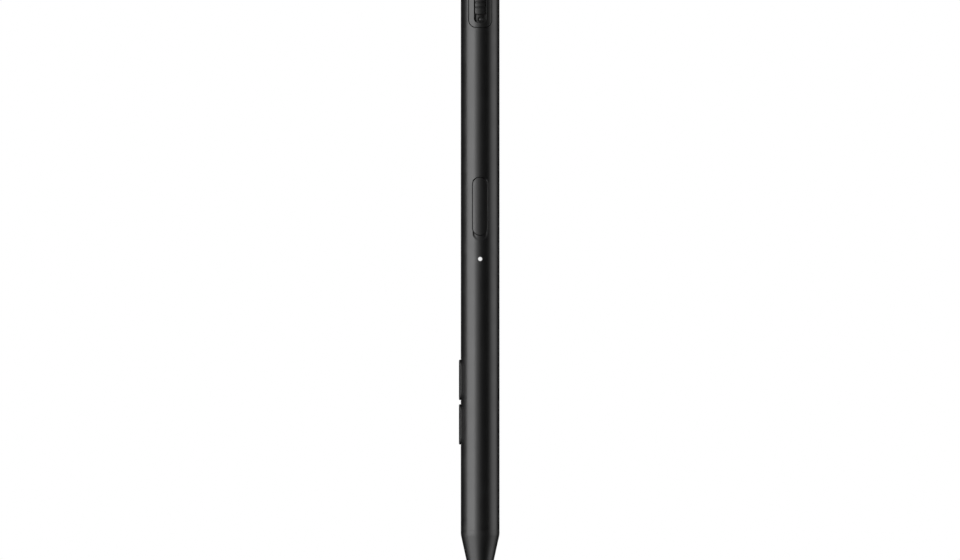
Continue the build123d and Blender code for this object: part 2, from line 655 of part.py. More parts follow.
# Status light and the light pipe that carries it to the barrel's face
with BuildPart() as status_led:
    block(
        (LED_STATION - LED_LENGTH / 2, LED_STATION + LED_LENGTH / 2),
        (-BOARD_HALF_WIDTH, LED_DEPTH - BOARD_HALF_WIDTH),
        (-BOARD_TOP, BOARD_TOP),
    )
pieces["status_led"] = status_led
PIPE_INNER = BOARD_HALF_WIDTH + GUIDE_GAP
with BuildPart() as light_pipe:
    front_pin(LED_STATION, LIGHT_PIPE_DIAMETER / 2, PIPE_INNER, BARREL_DIAMETER)
    disc(0, TOTAL_LENGTH, BARREL_RADIUS, Mode.INTERSECT)
    front_pin(
        LED_STATION, LIGHT_PIPE_FLANGE_DIAMETER / 2, PIPE_INNER, PIPE_INNER + LIGHT_PIPE_FLANGE_THICKNESS
    )
pieces["light_pipe"] = light_pipe

# Charging port: metal shell with ears on the board, insulator with its tongue, and contacts
with BuildPart() as port_shell:
    front_slot(PORT_CENTRE, PORT_LENGTH, PORT_WIDTH, -PORT_BACK, PORT_MOUTH)
    for side in (-1, 1):
        block(
            (PORT_START - PORT_EAR_LENGTH, PORT_START + PORT_SHELL_WALL),
            (side * PORT_EAR_PITCH / 2 - PORT_EAR_WIDTH / 2, side * PORT_EAR_PITCH / 2 + PORT_EAR_WIDTH / 2),
            (BOARD_TOP, BOARD_TOP + PORT_EAR_THICKNESS),
        )
    front_slot(PORT_CENTRE, PORT_OPENING_LENGTH, PORT_OPENING_WIDTH, -PORT_BACK, PORT_MOUTH, Mode.SUBTRACT)
pieces["port_shell"] = port_shell
with BuildPart() as port_tongue:
    front_slot(
        PORT_CENTRE,
        PORT_OPENING_LENGTH - 2 * SEAT_GAP,
        PORT_OPENING_WIDTH - 2 * SEAT_GAP,
        -PORT_BACK,
        PORT_BASE_THICKNESS - PORT_BACK,
    )
    block(
        (PORT_CENTRE - PORT_TONGUE_LENGTH / 2, PORT_CENTRE + PORT_TONGUE_LENGTH / 2),
        (-TONGUE_TIP, PORT_BACK - PORT_BASE_THICKNESS),
        (-PORT_TONGUE_THICKNESS / 2, PORT_TONGUE_THICKNESS / 2),
    )
pieces["port_tongue"] = port_tongue
with BuildPart() as port_contacts:
    for face in (PORT_TONGUE_THICKNESS / 2, -PORT_TONGUE_THICKNESS / 2 - CONTACT_THICKNESS):
        with BuildSketch(TOP.offset(face)):
            with Locations((PORT_CENTRE, -TONGUE_TIP + END_GAP + CONTACT_LENGTH / 2)):
                with GridLocations(CONTACT_PITCH, 0, CONTACT_COUNT, 1):
                    Rectangle(CONTACT_WIDTH, CONTACT_LENGTH)
        extrude(amount=CONTACT_THICKNESS)
pieces["port_contacts"] = port_contacts

# Port cover, flush with the barrel, with a rim that plugs the port
with BuildPart() as port_cover:
    front_slot(COVER_CENTRE, COVER_LENGTH, COVER_WIDTH, COVER_UNDER, BARREL_DIAMETER)
    disc(0, TOTAL_LENGTH, BARREL_RADIUS, Mode.INTERSECT)
    front_slot(
        PORT_CENTRE, COVER_PLUG_LENGTH, COVER_PLUG_WIDTH, COVER_UNDER - COVER_PLUG_DEPTH, COVER_UNDER
    )
    front_slot(
        PORT_CENTRE,
        COVER_PLUG_LENGTH - 2 * COVER_PLUG_WALL,
        COVER_PLUG_WIDTH - 2 * COVER_PLUG_WALL,
        COVER_UNDER - COVER_PLUG_DEPTH,
        COVER_UNDER,
        Mode.SUBTRACT,
    )
pieces["port_cover"] = port_cover

# Cover strap, the flexible tail that ties the cover to a post on the frame
with BuildPart() as cover_strap:
    block(
        (COVER_END - STRAP_BOND, STRAP_END),
        (-COVER_UNDER, -STRAP_UNDER),
        (-STRAP_WIDTH / 2, STRAP_WIDTH / 2),
    )
    front_pin(STRAP_STATION, STRAP_PEG_DIAMETER / 2, STRAP_UNDER - STRAP_PEG_LENGTH, STRAP_UNDER)
pieces["cover_strap"] = cover_strap

# Battery, a round cell with a terminal at its nib end
with BuildPart() as battery_cell:
    disc(BATTERY_START, BATTERY_END, BATTERY_RADIUS)
    fillet(battery_cell.edges().filter_by(GeomType.CIRCLE), BATTERY_EDGE)
    disc(BATTERY_FRONT, BATTERY_START, BATTERY_TERMINAL_DIAMETER / 2)
pieces["battery_cell"] = battery_cell

# Battery tabs, two strips from the cell's end to the ribbon
TAB_HEIGHTS = [BOARD_TOP + DROP_GAP, BOARD_TOP + DROP_GAP + TAB_WIDTH + DROP_GAP]
with BuildPart() as battery_tabs:
    for height in TAB_HEIGHTS:
        block(
            (BATTERY_START - TAB_THICKNESS, BATTERY_START),
            (BATTERY_TERMINAL_DIAMETER / 2 + DROP_GAP, RIBBON_INNER),
            (height, height + TAB_WIDTH),
        )
        block(
            (BATTERY_START - TAB_FOOT, BATTERY_START),
            (RIBBON_INNER - TAB_THICKNESS, RIBBON_INNER),
            (height, height + TAB_WIDTH),
        )
pieces["battery_tabs"] = battery_tabs

# Ribbon cable along the back of the battery, with a foot on each board
RIBBON_START = BOARD_END - RIBBON_FOOT_LENGTH - END_GAP
RIBBON_END = SWITCH_BOARD_START + RIBBON_FOOT_LENGTH + END_GAP
RIBBON_OUTER = RIBBON_INNER + RIBBON_THICKNESS
with BuildPart() as ribbon_cable:
    block((RIBBON_START, RIBBON_END), (RIBBON_INNER, RIBBON_OUTER), (BOARD_TOP, BOARD_TOP + RIBBON_WIDTH))
    for start in (RIBBON_START, RIBBON_END - RIBBON_FOOT_LENGTH):
        block(
            (start, start + RIBBON_FOOT_LENGTH),
            (BOARD_HALF_WIDTH - RIBBON_FOOT_DEPTH, RIBBON_OUTER),
            (BOARD_TOP, BOARD_TOP + RIBBON_THICKNESS),
        )
pieces["ribbon_cable"] = ribbon_cable

# Switch board, notched for the slide switch and narrowed into the tail cap
with BuildPart() as switch_board:
    block((SWITCH_BOARD_START, FRAME_END), (-SWITCH_FRONT, BOARD_HALF_WIDTH), (-BOARD_TOP, BOARD_TOP))
    block(
        (FRAME_END, FRAME_END + SWITCH_BOARD_TONGUE),
        (-SWITCH_BOARD_TONGUE_WIDTH / 2, SWITCH_BOARD_TONGUE_WIDTH / 2),
        (-BOARD_TOP, BOARD_TOP),
    )
    block(
        (KNOB_MIDDLE - SWITCH_BODY_LENGTH / 2 - GUIDE_GAP, KNOB_MIDDLE + SWITCH_BODY_LENGTH / 2 + GUIDE_GAP),
        (-SWITCH_FRONT, GUIDE_GAP - SWITCH_BACK),
        (-BOARD_TOP, BOARD_TOP),
        Mode.SUBTRACT,
    )
pieces["switch_board"] = switch_board

# Slide switch set into the board's notch
LEVER_PLAY = (KNOB_TRAVEL + LEVER_LENGTH) / 2 + DROP_GAP
with BuildPart() as slide_switch:
    block(
        (KNOB_MIDDLE - SWITCH_BODY_LENGTH / 2, KNOB_MIDDLE + SWITCH_BODY_LENGTH / 2),
        (-SWITCH_FRONT, -SWITCH_BACK),
        (-SWITCH_BODY_HEIGHT / 2, SWITCH_BODY_HEIGHT / 2),
    )
    block(
        (KNOB_MIDDLE - LEVER_PLAY, KNOB_MIDDLE + LEVER_PLAY),
        (-SWITCH_FRONT, LEVER_SUNK + DROP_GAP - SWITCH_FRONT),
        (-LEVER_WIDTH / 2 - GUIDE_GAP, LEVER_WIDTH / 2 + GUIDE_GAP),
        Mode.SUBTRACT,
    )
pieces["slide_switch"] = slide_switch

# Switch lever, which rides in the knob's stem
with BuildPart() as switch_lever:
    block(
        (KNOB_CENTRE - LEVER_LENGTH / 2, KNOB_CENTRE + LEVER_LENGTH / 2),
        (-SWITCH_FRONT - LEVER_REACH, LEVER_SUNK - SWITCH_FRONT),
        (-LEVER_WIDTH / 2, LEVER_WIDTH / 2),
    )
pieces["switch_lever"] = switch_lever

# Switch bezel, an oblong insert flush with the barrel, with a slot and a dotted pit
STEM_PLAY = (KNOB_TRAVEL + KNOB_STEM_LENGTH) / 2 + DROP_GAP
with BuildPart() as switch_bezel:
    front_oblong(BEZEL_CENTRE, BEZEL_LENGTH, BEZEL_WIDTH, BEZEL_CORNER, BEZEL_UNDER, BARREL_DIAMETER)
    disc(0, TOTAL_LENGTH, BARREL_RADIUS, Mode.INTERSECT)
    front_oblong(BEZEL_CENTRE, SLOT_LENGTH, SLOT_WIDTH, SLOT_CORNER, SLOT_FLOOR, BARREL_DIAMETER, Mode.SUBTRACT)
    block(
        (KNOB_MIDDLE - STEM_PLAY, KNOB_MIDDLE + STEM_PLAY),
        (-SLOT_FLOOR, -BEZEL_UNDER),
        (-KNOB_STEM_WIDTH / 2 - GUIDE_GAP, KNOB_STEM_WIDTH / 2 + GUIDE_GAP),
        Mode.SUBTRACT,
    )
    front_pin(MARK_STATION, MARK_PIT_DIAMETER / 2, SLOT_FLOOR - MARK_PIT_DEPTH, SLOT_FLOOR, Mode.SUBTRACT)
pieces["switch_bezel"] = switch_bezel

# Switch mark, the pale dot that shows while the switch is back
with BuildPart() as switch_mark:
    front_pin(
        MARK_STATION, MARK_DIAMETER / 2, SLOT_FLOOR - MARK_PIT_DEPTH, SLOT_FLOOR - MARK_PIT_DEPTH + MARK_HEIGHT
    )
pieces["switch_mark"] = switch_mark

# Slide knob, ribbed across its top, with a barbed stem through the bezel
KNOB_TOP_RADIUS = BARREL_RADIUS - KNOB_RECESS
GROOVE_CENTRE_RADIUS = KNOB_TOP_RADIUS - GROOVE_DEPTH + GROOVE_RADIUS
with BuildPart() as slide_knob:
    front_oblong(KNOB_CENTRE, KNOB_LENGTH, KNOB_WIDTH, KNOB_CORNER, KNOB_UNDER, BARREL_DIAMETER)
    disc(0, TOTAL_LENGTH, KNOB_TOP_RADIUS, Mode.INTERSECT)
    with BuildSketch(FRONT):
        with Locations((KNOB_CENTRE, GROOVE_CENTRE_RADIUS)):
            with GridLocations(GROOVE_PITCH, 0, GROOVE_COUNT, 1):
                Circle(GROOVE_RADIUS)
    revolve(axis=PEN_AXIS, mode=Mode.SUBTRACT)
    block(
        (KNOB_CENTRE - KNOB_STEM_LENGTH / 2, KNOB_CENTRE + KNOB_STEM_LENGTH / 2),
        (-KNOB_UNDER, -STEM_END),
        (-KNOB_STEM_WIDTH / 2, KNOB_STEM_WIDTH / 2),
    )
    block(
        (KNOB_CENTRE - KNOB_STEM_LENGTH / 2, KNOB_CENTRE + KNOB_STEM_LENGTH / 2),
        (-STEM_END - KNOB_BARB, -STEM_END),
        (-KNOB_STEM_WIDTH / 2 - KNOB_BARB, KNOB_STEM_WIDTH / 2 + KNOB_BARB),
    )
    block(
        (KNOB_CENTRE - LEVER_LENGTH / 2 - SEAT_GAP, KNOB_CENTRE + LEVER_LENGTH / 2 + SEAT_GAP),
        (-SWITCH_FRONT - LEVER_REACH - SEAT_GAP, -STEM_END),
        (-LEVER_WIDTH / 2 - SEAT_GAP, LEVER_WIDTH / 2 + SEAT_GAP),
        Mode.SUBTRACT,
    )
pieces["slide_knob"] = slide_knob

# Antenna on the tail end of the switch board
with BuildPart() as antenna:
    block(
        (FRAME_END + SWITCH_BOARD_TONGUE - ANTENNA_LENGTH, FRAME_END + SWITCH_BOARD_TONGUE),
        (-ANTENNA_WIDTH / 2, ANTENNA_WIDTH / 2),
        (BOARD_TOP, BOARD_TOP + ANTENNA_HEIGHT),
    )
pieces["antenna"] = antenna

# Tail cap, with a spigot in the barrel and a fine groove at the seam
with BuildPart() as tail_cap:
    with BuildSketch(FRONT):
        with BuildLine():
            Polyline(
                (TOTAL_LENGTH, BARREL_RADIUS - TAIL_EDGE_RADIUS),
                (TOTAL_LENGTH, 0),
                (TAIL_SEAM + TAIL_CAVITY_LENGTH, 0),
                (TAIL_SEAM + TAIL_CAVITY_LENGTH, TAIL_CAVITY_RADIUS),
                (TAIL_SPIGOT_START, TAIL_CAVITY_RADIUS),
                (TAIL_SPIGOT_START, SPIGOT_RADIUS),
                (TAIL_SEAM, SPIGOT_RADIUS),
                (TAIL_SEAM, BARREL_RADIUS - TAIL_SEAM_DEPTH),
                (TAIL_SEAM + TAIL_SEAM_WIDTH, BARREL_RADIUS - TAIL_SEAM_DEPTH),
                (TAIL_SEAM + TAIL_SEAM_WIDTH, BARREL_RADIUS),
                (TOTAL_LENGTH - TAIL_EDGE_RADIUS, BARREL_RADIUS),
            )
            RadiusArc(
                (TOTAL_LENGTH - TAIL_EDGE_RADIUS, BARREL_RADIUS),
                (TOTAL_LENGTH, BARREL_RADIUS - TAIL_EDGE_RADIUS),
                TAIL_EDGE_RADIUS,
            )
        make_face()
    revolve(axis=PEN_AXIS)
pieces["tail_cap"] = tail_cap

# One file for each piece
os.makedirs("parts", exist_ok=True)
for name, piece in pieces.items():
    piece.part.label = name
    export_step(piece.part, f"parts/{name}.step")
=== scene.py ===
"""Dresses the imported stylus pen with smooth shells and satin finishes, and sets it in a plain studio.

Lengths are metres. A station is a distance along the pen from the nib's tip. Depths, heights and radii are
measured from the pen's axis. The pen lies along X with its buttons up and its light to the front, -Y.
"""

import json
import math
from collections import namedtuple

import bmesh
import bpy
import numpy as np
from bpy.props import FloatProperty, FloatVectorProperty, PointerProperty
from mathutils import Matrix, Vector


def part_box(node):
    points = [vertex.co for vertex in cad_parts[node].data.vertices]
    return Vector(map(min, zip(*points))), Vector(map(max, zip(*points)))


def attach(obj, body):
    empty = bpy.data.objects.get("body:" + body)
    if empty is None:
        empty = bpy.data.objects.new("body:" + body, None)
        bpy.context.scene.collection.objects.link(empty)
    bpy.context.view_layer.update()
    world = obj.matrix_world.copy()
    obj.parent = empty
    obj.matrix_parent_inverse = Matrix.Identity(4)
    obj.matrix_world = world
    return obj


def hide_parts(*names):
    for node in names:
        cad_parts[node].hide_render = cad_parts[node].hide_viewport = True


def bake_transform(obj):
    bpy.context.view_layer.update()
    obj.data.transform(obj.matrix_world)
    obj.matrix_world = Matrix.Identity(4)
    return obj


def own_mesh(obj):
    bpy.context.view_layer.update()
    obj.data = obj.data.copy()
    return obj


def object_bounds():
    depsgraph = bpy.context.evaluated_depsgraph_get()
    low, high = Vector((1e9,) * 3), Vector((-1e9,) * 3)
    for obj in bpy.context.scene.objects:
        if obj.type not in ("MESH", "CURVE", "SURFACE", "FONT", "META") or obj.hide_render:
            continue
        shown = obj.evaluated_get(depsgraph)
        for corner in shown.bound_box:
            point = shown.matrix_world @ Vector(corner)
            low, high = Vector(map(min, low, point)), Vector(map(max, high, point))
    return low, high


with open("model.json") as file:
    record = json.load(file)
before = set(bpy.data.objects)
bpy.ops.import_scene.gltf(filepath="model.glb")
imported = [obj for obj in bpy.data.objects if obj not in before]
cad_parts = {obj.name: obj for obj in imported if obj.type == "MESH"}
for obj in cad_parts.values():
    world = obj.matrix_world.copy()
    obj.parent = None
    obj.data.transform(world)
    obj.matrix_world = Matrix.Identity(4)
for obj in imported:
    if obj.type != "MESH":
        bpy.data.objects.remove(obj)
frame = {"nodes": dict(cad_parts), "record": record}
CAD_BOX = [list(corner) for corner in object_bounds()]

bl_info = {
    "name": "Stylus Pen",
    "version": (1, 0, 0),
    "blender": (4, 5, 0),
    "location": "View3D > Sidebar > Stylus Pen",
    "description": "Builds the shells, finishes and studio of a rechargeable stylus pen",
    "category": "Object",
}

# The pen's axis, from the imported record
TAIL_MOUNT = next(m for m in frame["record"]["mounts"] if m["name"] == "tail_end")
TIP_X = CAD_BOX[0][0]
LENGTH = CAD_BOX[1][0] - TIP_X
AXIS_HEIGHT = TAIL_MOUNT["pos_m"][2]
RADIUS = TAIL_MOUNT["dims"]["r_mm"] / 1000

# How finely the surfaces are divided
TURN_STEPS = 144
ARC_STEPS = 192
LIP_STEPS = 6
RIM_STEPS = 9
SCOOP_STEPS = 22
CORNER_STEPS = 5
NOSE_CORNER_STEPS = 10
NIB_STEPS = 14
DOME_STEPS = 24
STRAP_STEPS = 60
MARK_STEPS = 8
CUT_STEPS = 24
WINDOW_SIDE_STEPS = 4
KEY_SIDE_STEPS = 20
PORT_SIDE_STEPS = 24
SLIDER_SIDE_STEPS = 120
PLAIN_STEP = 0.002

# Shares of the way from one outline to another at which rings lie
FACE_SHARES = np.append(np.linspace(0, 0.94, 9), 0.98)
PATCH_SHARES = np.append(np.linspace(1, 0.1, 9), 0.03)
WALL_SHARES = np.linspace(0.1, 1, 4)
BORE_SHARES = np.linspace(0.2, 1, 5)
BEZEL_SHARES = np.array([0.05, 0.3, 0.5, 0.7, 0.95])
FLOOR_SHARES = np.linspace(0, 1, 6)

# Points nearer than this are welded
WELD = 1.5e-6

# Edges that turn by more than this stay sharp in the shading
SHARP_ANGLE = math.radians(38)

# Keeps a divisor from being nought
TINY = 1e-9

# The sine of the angle up to which an oblong's ends are nearly flat
END_SPREAD = 0.3

Grid = namedtuple("Grid", "points closed edge", defaults=(True, 0.0))
Oblong = namedtuple("Oblong", "turn lean shift centre reach facing")
Extent = namedtuple("Extent", "start end middle half inner outer")


def length_prop(name, description, default):
    """A length that a user may change."""
    return FloatProperty(
        name=name, description=description, default=default, min=0, precision=5, unit="LENGTH"
    )


def unit_prop(name, description, default, unit, **limits):
    """A power, a turn or a signed length that a user may change."""
    return FloatProperty(name=name, description=description, default=default, unit=unit, **limits)


def colour_prop(name, description, default):
    """A colour that a user may change."""
    return FloatVectorProperty(
        name=name, description=description, default=default, size=3, min=0, max=1, subtype="COLOR"
    )


def share_prop(name, description, default, top=1):
    """A number from nought to a top value that a user may change."""
    return FloatProperty(
        name=name, description=description, default=default, min=0, max=top, subtype="FACTOR"
    )


class StylusSizes(bpy.types.PropertyGroup):
    """Sizes of the shells, most of which repeat those of the solids that they stand for."""

    bore_radius: length_prop("Bore radius", "Inner radius of the barrel", 0.00405)
    barrel_start: length_prop("Barrel start", "Station of the seam with the nose cone", 0.0208156)
    barrel_end: length_prop("Barrel end", "Station of the seam with the tail cap", 0.1585)
    seam_lip: length_prop("Seam lip", "Rounding of the barrel's two ends", 0.000015)
    lip: length_prop("Window lip", "Rounding of the windows' edges in the barrel", 0.0001)
    key_length: length_prop("Button length", "Length of a side button", 0.0099)
    key_width: length_prop("Button width", "Width of a side button", 0.0042)
    key_gap: length_prop("Button gap", "Room around a side button in its window", 0.0001)
    key_proud: length_prop("Button height", "How far a side button stands proud of the barrel", 0.00046)
    key_edge: length_prop("Button edge", "Rounding of a button's rim", 0.0001)
    key_ease: length_prop("Button ease", "Length over which a button's ends slope down", 0.00035)
    key_fall: length_prop("Button fall", "How far a button's ends slope down", 0.00015)
    light_radius: length_prop("Light radius", "Radius of the light's lens", 0.0005)
    light_gap: length_prop("Light gap", "Room around the light's lens", 0.00002)
    cover_gap: length_prop("Cover gap", "Room around the port cover in its window", 0.00008)
    cover_lip: length_prop("Cover lip", "Rounding of the port cover's rim", 0.0001)
    scoop_reach: length_prop("Scoop reach", "How far the nail scoop runs past the cover's nib end", 0.00145)
    scoop_depth: length_prop("Scoop depth", "Depth of the nail scoop at the cover's edge", 0.00016)
    scoop_wall: length_prop("Scoop wall", "Width of the sloping wall at the nail scoop's edge", 0.00046)
    scoop_blend: length_prop("Scoop blend", "Smoothing where the scoop's rim meets the window's", 0.00004)
    bezel_gap: length_prop("Bezel gap", "Room around the switch bezel in its window", 0.00002)
    bezel_lip: length_prop("Bezel lip", "Rounding of the switch bezel's edges", 0.00011)
    bezel_line: length_prop("Bezel line", "How much the dark line round the bezel is widened", 0.00006)
    bezel_corner: length_prop("Bezel corner", "Corner radius of the switch bezel", 0.0019)
    slot_corner: length_prop("Slot corner", "Corner radius of the bezel's slot", 0.000983)
    slider_corner: length_prop("Slider corner", "Corner radius of the slider", 0.0006625)
    slider_recess: length_prop("Slider recess", "How far the slider lies below the barrel's face", 0.00025)
    groove_pitch: length_prop("Groove pitch", "Spacing of the slider's finger grooves", 0.00127)
    groove_radius: length_prop("Groove radius", "Radius of a finger groove", 0.0002)
    slider_ease: length_prop("Slider ease", "Length over which the slider's ends slope down", 0.00045)
    slider_fall: length_prop("Slider fall", "How far the slider's ends slope down", 0.00028)


class StylusFinishes(bpy.types.PropertyGroup):
    """Colours and gloss of the finishes that show."""

    barrel_colour: colour_prop("Barrel", "Colour of the anodised barrel", (0.004, 0.004, 0.0042))
    moulding_colour: colour_prop("Mouldings", "Colour of the black moulded pieces", (0.004, 0.004, 0.0041))
    worn_colour: colour_prop("Worn edges", "Colour that the edges are rubbed to", (0.012, 0.012, 0.0124))
    nib_colour: colour_prop("Nib", "Colour of the nib's polymer", (0.03, 0.03, 0.032))
    mark_colour: colour_prop("Mark", "Colour of the switch's pale dot", (0.09, 0.09, 0.093))
    light_colour: colour_prop("Light", "Colour of the lit lens", (1.0, 1.0, 1.0))
    barrel_roughness: share_prop("Barrel roughness", "How matt the barrel is", 0.34)
    moulding_roughness: share_prop("Moulding roughness", "How matt the mouldings are", 0.36)
    reflectance: share_prop("Reflectance", "Specular level of the black finishes", 0.9)
    button_reflectance: share_prop("Button reflectance", "Specular level of the side buttons", 0.76)


class StylusStage(bpy.types.PropertyGroup):
    """The studio: its floor, its two lamps, the room's brightness by direction and the picture's frame."""

    floor_colour: colour_prop("Floor", "Colour of the floor", (0.78, 0.78, 0.775))
    floor_size: length_prop("Floor size", "Side of the square floor", 6.0)
    lamp_distance: length_prop("Lamp distance", "Distance of the softboxes from the pen's line", 1.0)
    key_power: unit_prop("Key power", "Power of the main softbox", 11.2, "POWER", min=0)
    key_height: length_prop("Key height", "Size of the main softbox across the pen", 1.0)
    key_length: length_prop("Key length", "Size of the main softbox along the pen", 1.4)
    key_shift: length_prop("Key shift", "How far the main softbox lies towards the tail", 0.17)
    key_rise: unit_prop("Key rise", "Main softbox's rise from the front", math.radians(58), "ROTATION")
    top_power: unit_prop("Top power", "Power of the faint softbox overhead", 0.72, "POWER", min=0)
    top_height: length_prop("Top height", "Size of the faint softbox across the pen", 0.45)
    top_length: length_prop("Top length", "Size of the faint softbox along the pen", 0.8)
    top_shift: length_prop("Top shift", "How far the faint softbox lies towards the nib", 0.5)
    top_rise: unit_prop("Top rise", "Faint softbox's rise from the front", math.radians(97), "ROTATION")
    room: share_prop("Room", "Brightness of the room away from the backdrop", 0.015)
    glow: share_prop("Glow", "Brightness of the light table below the pen", 1.25, 4)
    wash: share_prop("Wash", "Brightness of the front wall, which fades towards the floor", 0.95, 4)
    frame_width: length_prop("Frame width", "Width of the picture at the pen", 0.235056)
    frame_station: length_prop("Frame station", "Station at the picture's centre", 0.0821)
    frame_rise: unit_prop("Frame rise", "Height of the picture's centre over the axis", 0.0000367, "LENGTH")


# Shapes of grids


def extent(node):
    """A node's end stations and their middle, its half height, and how far to the front its faces lie."""
    low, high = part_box(node)
    start, end = low.x - TIP_X, high.x - TIP_X
    return Extent(start, end, (start + end) / 2, (high.z - low.z) / 2, -high.y, -low.y)


def facing_points(along, across, out, facing="front"):
    """Points of a piece in one face of the pen: the station runs along X, and the piece's own sideways and
    outward distances run up and to the front, or to the back and up where it faces the top."""
    along, across, out = np.broadcast_arrays(along, across, out)
    if facing == "front":
        return np.stack([TIP_X + along, -out, AXIS_HEIGHT + across], axis=-1)
    return np.stack([TIP_X + along, across, AXIS_HEIGHT + out], axis=-1)


def around(stations, radii, angles):
    """Points about the axis: the angle turns from the front, -Y, up to +Z and over to the back."""
    return facing_points(stations, radii * np.sin(angles), radii * np.cos(angles))


def turned(profile):
    """A profile of stations and radii carried once round the axis."""
    profile = np.asarray(profile, float)
    angles = np.linspace(0, 2 * np.pi, TURN_STEPS, endpoint=False)
    return Grid(around(profile[:, :1], profile[:, 1:], angles))


def stepped(radius, steps):
    """Corners of a profile that starts at a radius and goes over to a new one at each step's station."""
    corners = []
    for station, after in steps:
        corners += [(station, radius), (station, after)]
        radius = after
    return corners


def softened(corners, setbacks, steps=LIP_STEPS):
    """A closed chain of corners, each replaced by a parabola that leaves and meets its two sides at the
    corner's setback: (1-u)(1-u) start + 2u(1-u) corner + uu end."""
    corners = np.asarray(corners, float)
    setbacks = np.asarray(setbacks, float)[:, None]
    before = np.roll(corners, 1, axis=0) - corners
    after = np.roll(corners, -1, axis=0) - corners
    start = corners + before / np.linalg.norm(before, axis=1, keepdims=True) * setbacks
    end = corners + after / np.linalg.norm(after, axis=1, keepdims=True) * setbacks
    u = np.linspace(0, 1, steps + 1)[None, :, None]
    curve = (1 - u) ** 2 * start[:, None] + 2 * u * (1 - u) * corners[:, None] + u**2 * end[:, None]
    return curve.reshape(-1, 2)


def even_shares(count):
    """Evenly spaced shares of a straight run, without its two ends."""
    return np.linspace(1, -1, count + 1)[1:-1]


def oblong(centre, reach=0.0, shares=(), square=0.0, facing="front"):
    """An oblong's points, anticlockwise from 45 degrees before the tail end's tip: the angle that each
    faces, its share of the reach, 1 at the tail end, -1 at the nib end and as listed between, and its
    sideways shift. The shift is square, the half width that the corners' radius leaves, times
    x (3 - xx) / 2, where x is the angle's sine over a small spread and at most 1, so that the ends are
    nearly flat. Without shares it is a circle."""
    turn = np.radians(np.linspace(-45, 315, ARC_STEPS, endpoint=False))
    lean = np.zeros_like(turn)
    if len(shares):
        shares = np.asarray(shares, float)
        run = np.ones_like(shares)
        left, right = ARC_STEPS * 135 // 360, ARC_STEPS * 315 // 360
        tail, nib = turn[: left + 1], turn[left : right + 1]
        turn = np.concatenate([tail, run * np.pi / 2, nib, run * np.pi * 1.5, turn[right:]])
        ends = np.ones_like(tail), -np.ones_like(nib), np.ones(ARC_STEPS - right)
        lean = np.concatenate([ends[0], shares, ends[1], shares[::-1], ends[2]])
    x = np.clip(np.sin(turn) / END_SPREAD, -1, 1)
    return Oblong(turn, lean, square * x * (3 - x**2) / 2, centre, reach, facing)


def fitted(node, shares, corner=None):
    """The oblong that fills a node's box, seen from the front, with a corner radius or else round ends."""
    box = extent(node)
    corner = box.half if corner is None else corner
    return oblong(box.middle, (box.end - box.start) / 2 - corner, shares, box.half - corner)


def outline(shape, radius):
    """Stations and sideways distances of an oblong: arcs of one radius whose centres lie a reach to each
    side of the middle, shifted sideways. Radii may be a column, for several outlines at once."""
    along = shape.centre + shape.lean * shape.reach + radius * np.cos(shape.turn)
    return along, shape.shift + radius * np.sin(shape.turn)


def quarter(steps=LIP_STEPS):
    """The sine and the shortfall of the cosine along a quarter turn, which make a rounded edge."""
    angle = np.linspace(0, np.pi / 2, steps + 1)
    return np.sin(angle), 1 - np.cos(angle)


def rubbed(sine):
    """Wear across a rounded edge by its turn's sine: none at both ends, and full where the sine is half."""
    return (1 - np.abs(2 * sine - 1))[:, None]


def crowned(shape, radius, lip, crown=lambda stations: RADIUS):
    """The face of an oblong piece from its middle line to its rim, with its wear: a cylinder about the axis
    whose radius, crown, is a function of the station, and a rim rounded by a quarter turn."""
    sine, fall = quarter()
    flat = radius - lip
    level = np.zeros_like(FACE_SHARES)
    radii = np.append(flat * FACE_SHARES, flat + lip * sine)[:, None]
    drops = np.append(level, lip * fall)[:, None]
    along, across = outline(shape._replace(shift=shape.shift * np.minimum(radii / flat, 1)), radii)
    out = np.sqrt(crown(along) ** 2 - across**2) - drops
    return facing_points(along, across, out, shape.facing), np.append(level, rubbed(sine))[:, None]


def level_rings(shape, rings):
    """An oblong's outlines, each with a radius and a level of its own."""
    radii, outs = np.asarray(rings, float).T[..., None]
    return facing_points(*outline(shape, radii), outs, shape.facing)


def cylinder_rings(shape, rings):
    """An oblong's outlines, each with a radius of its own and laid on its own cylinder about the axis."""
    radii, shells = np.asarray(rings, float).T[..., None]
    along, across = outline(shape, radii)
    return facing_points(along, across, np.sqrt(shells**2 - across**2), shape.facing)


def stacked(*parts):
    """Rings of points one after another as one closed grid. A part may bring its wear, by ring or point."""
    points = [p[0] if isinstance(p, tuple) else p for p in parts]
    wear = [p[1] if isinstance(p, tuple) else 0.0 for p in parts]
    edge = [np.broadcast_to(w, rings.shape[:2]) for w, rings in zip(wear, points)]
    return Grid(np.concatenate(points), True, np.concatenate(edge))


def grid_faces(rows, columns, closed, first):
    """Four-cornered faces of a grid of points, joined across its last column where it is closed."""
    index = first + np.arange(rows * columns).reshape(rows, columns)
    if closed:
        index = np.concatenate([index, index[:, :1]], axis=1)
    faces = np.stack([index[:-1, :-1], index[:-1, 1:], index[1:, 1:], index[1:, :-1]], axis=-1)
    return faces.reshape(-1, 4)


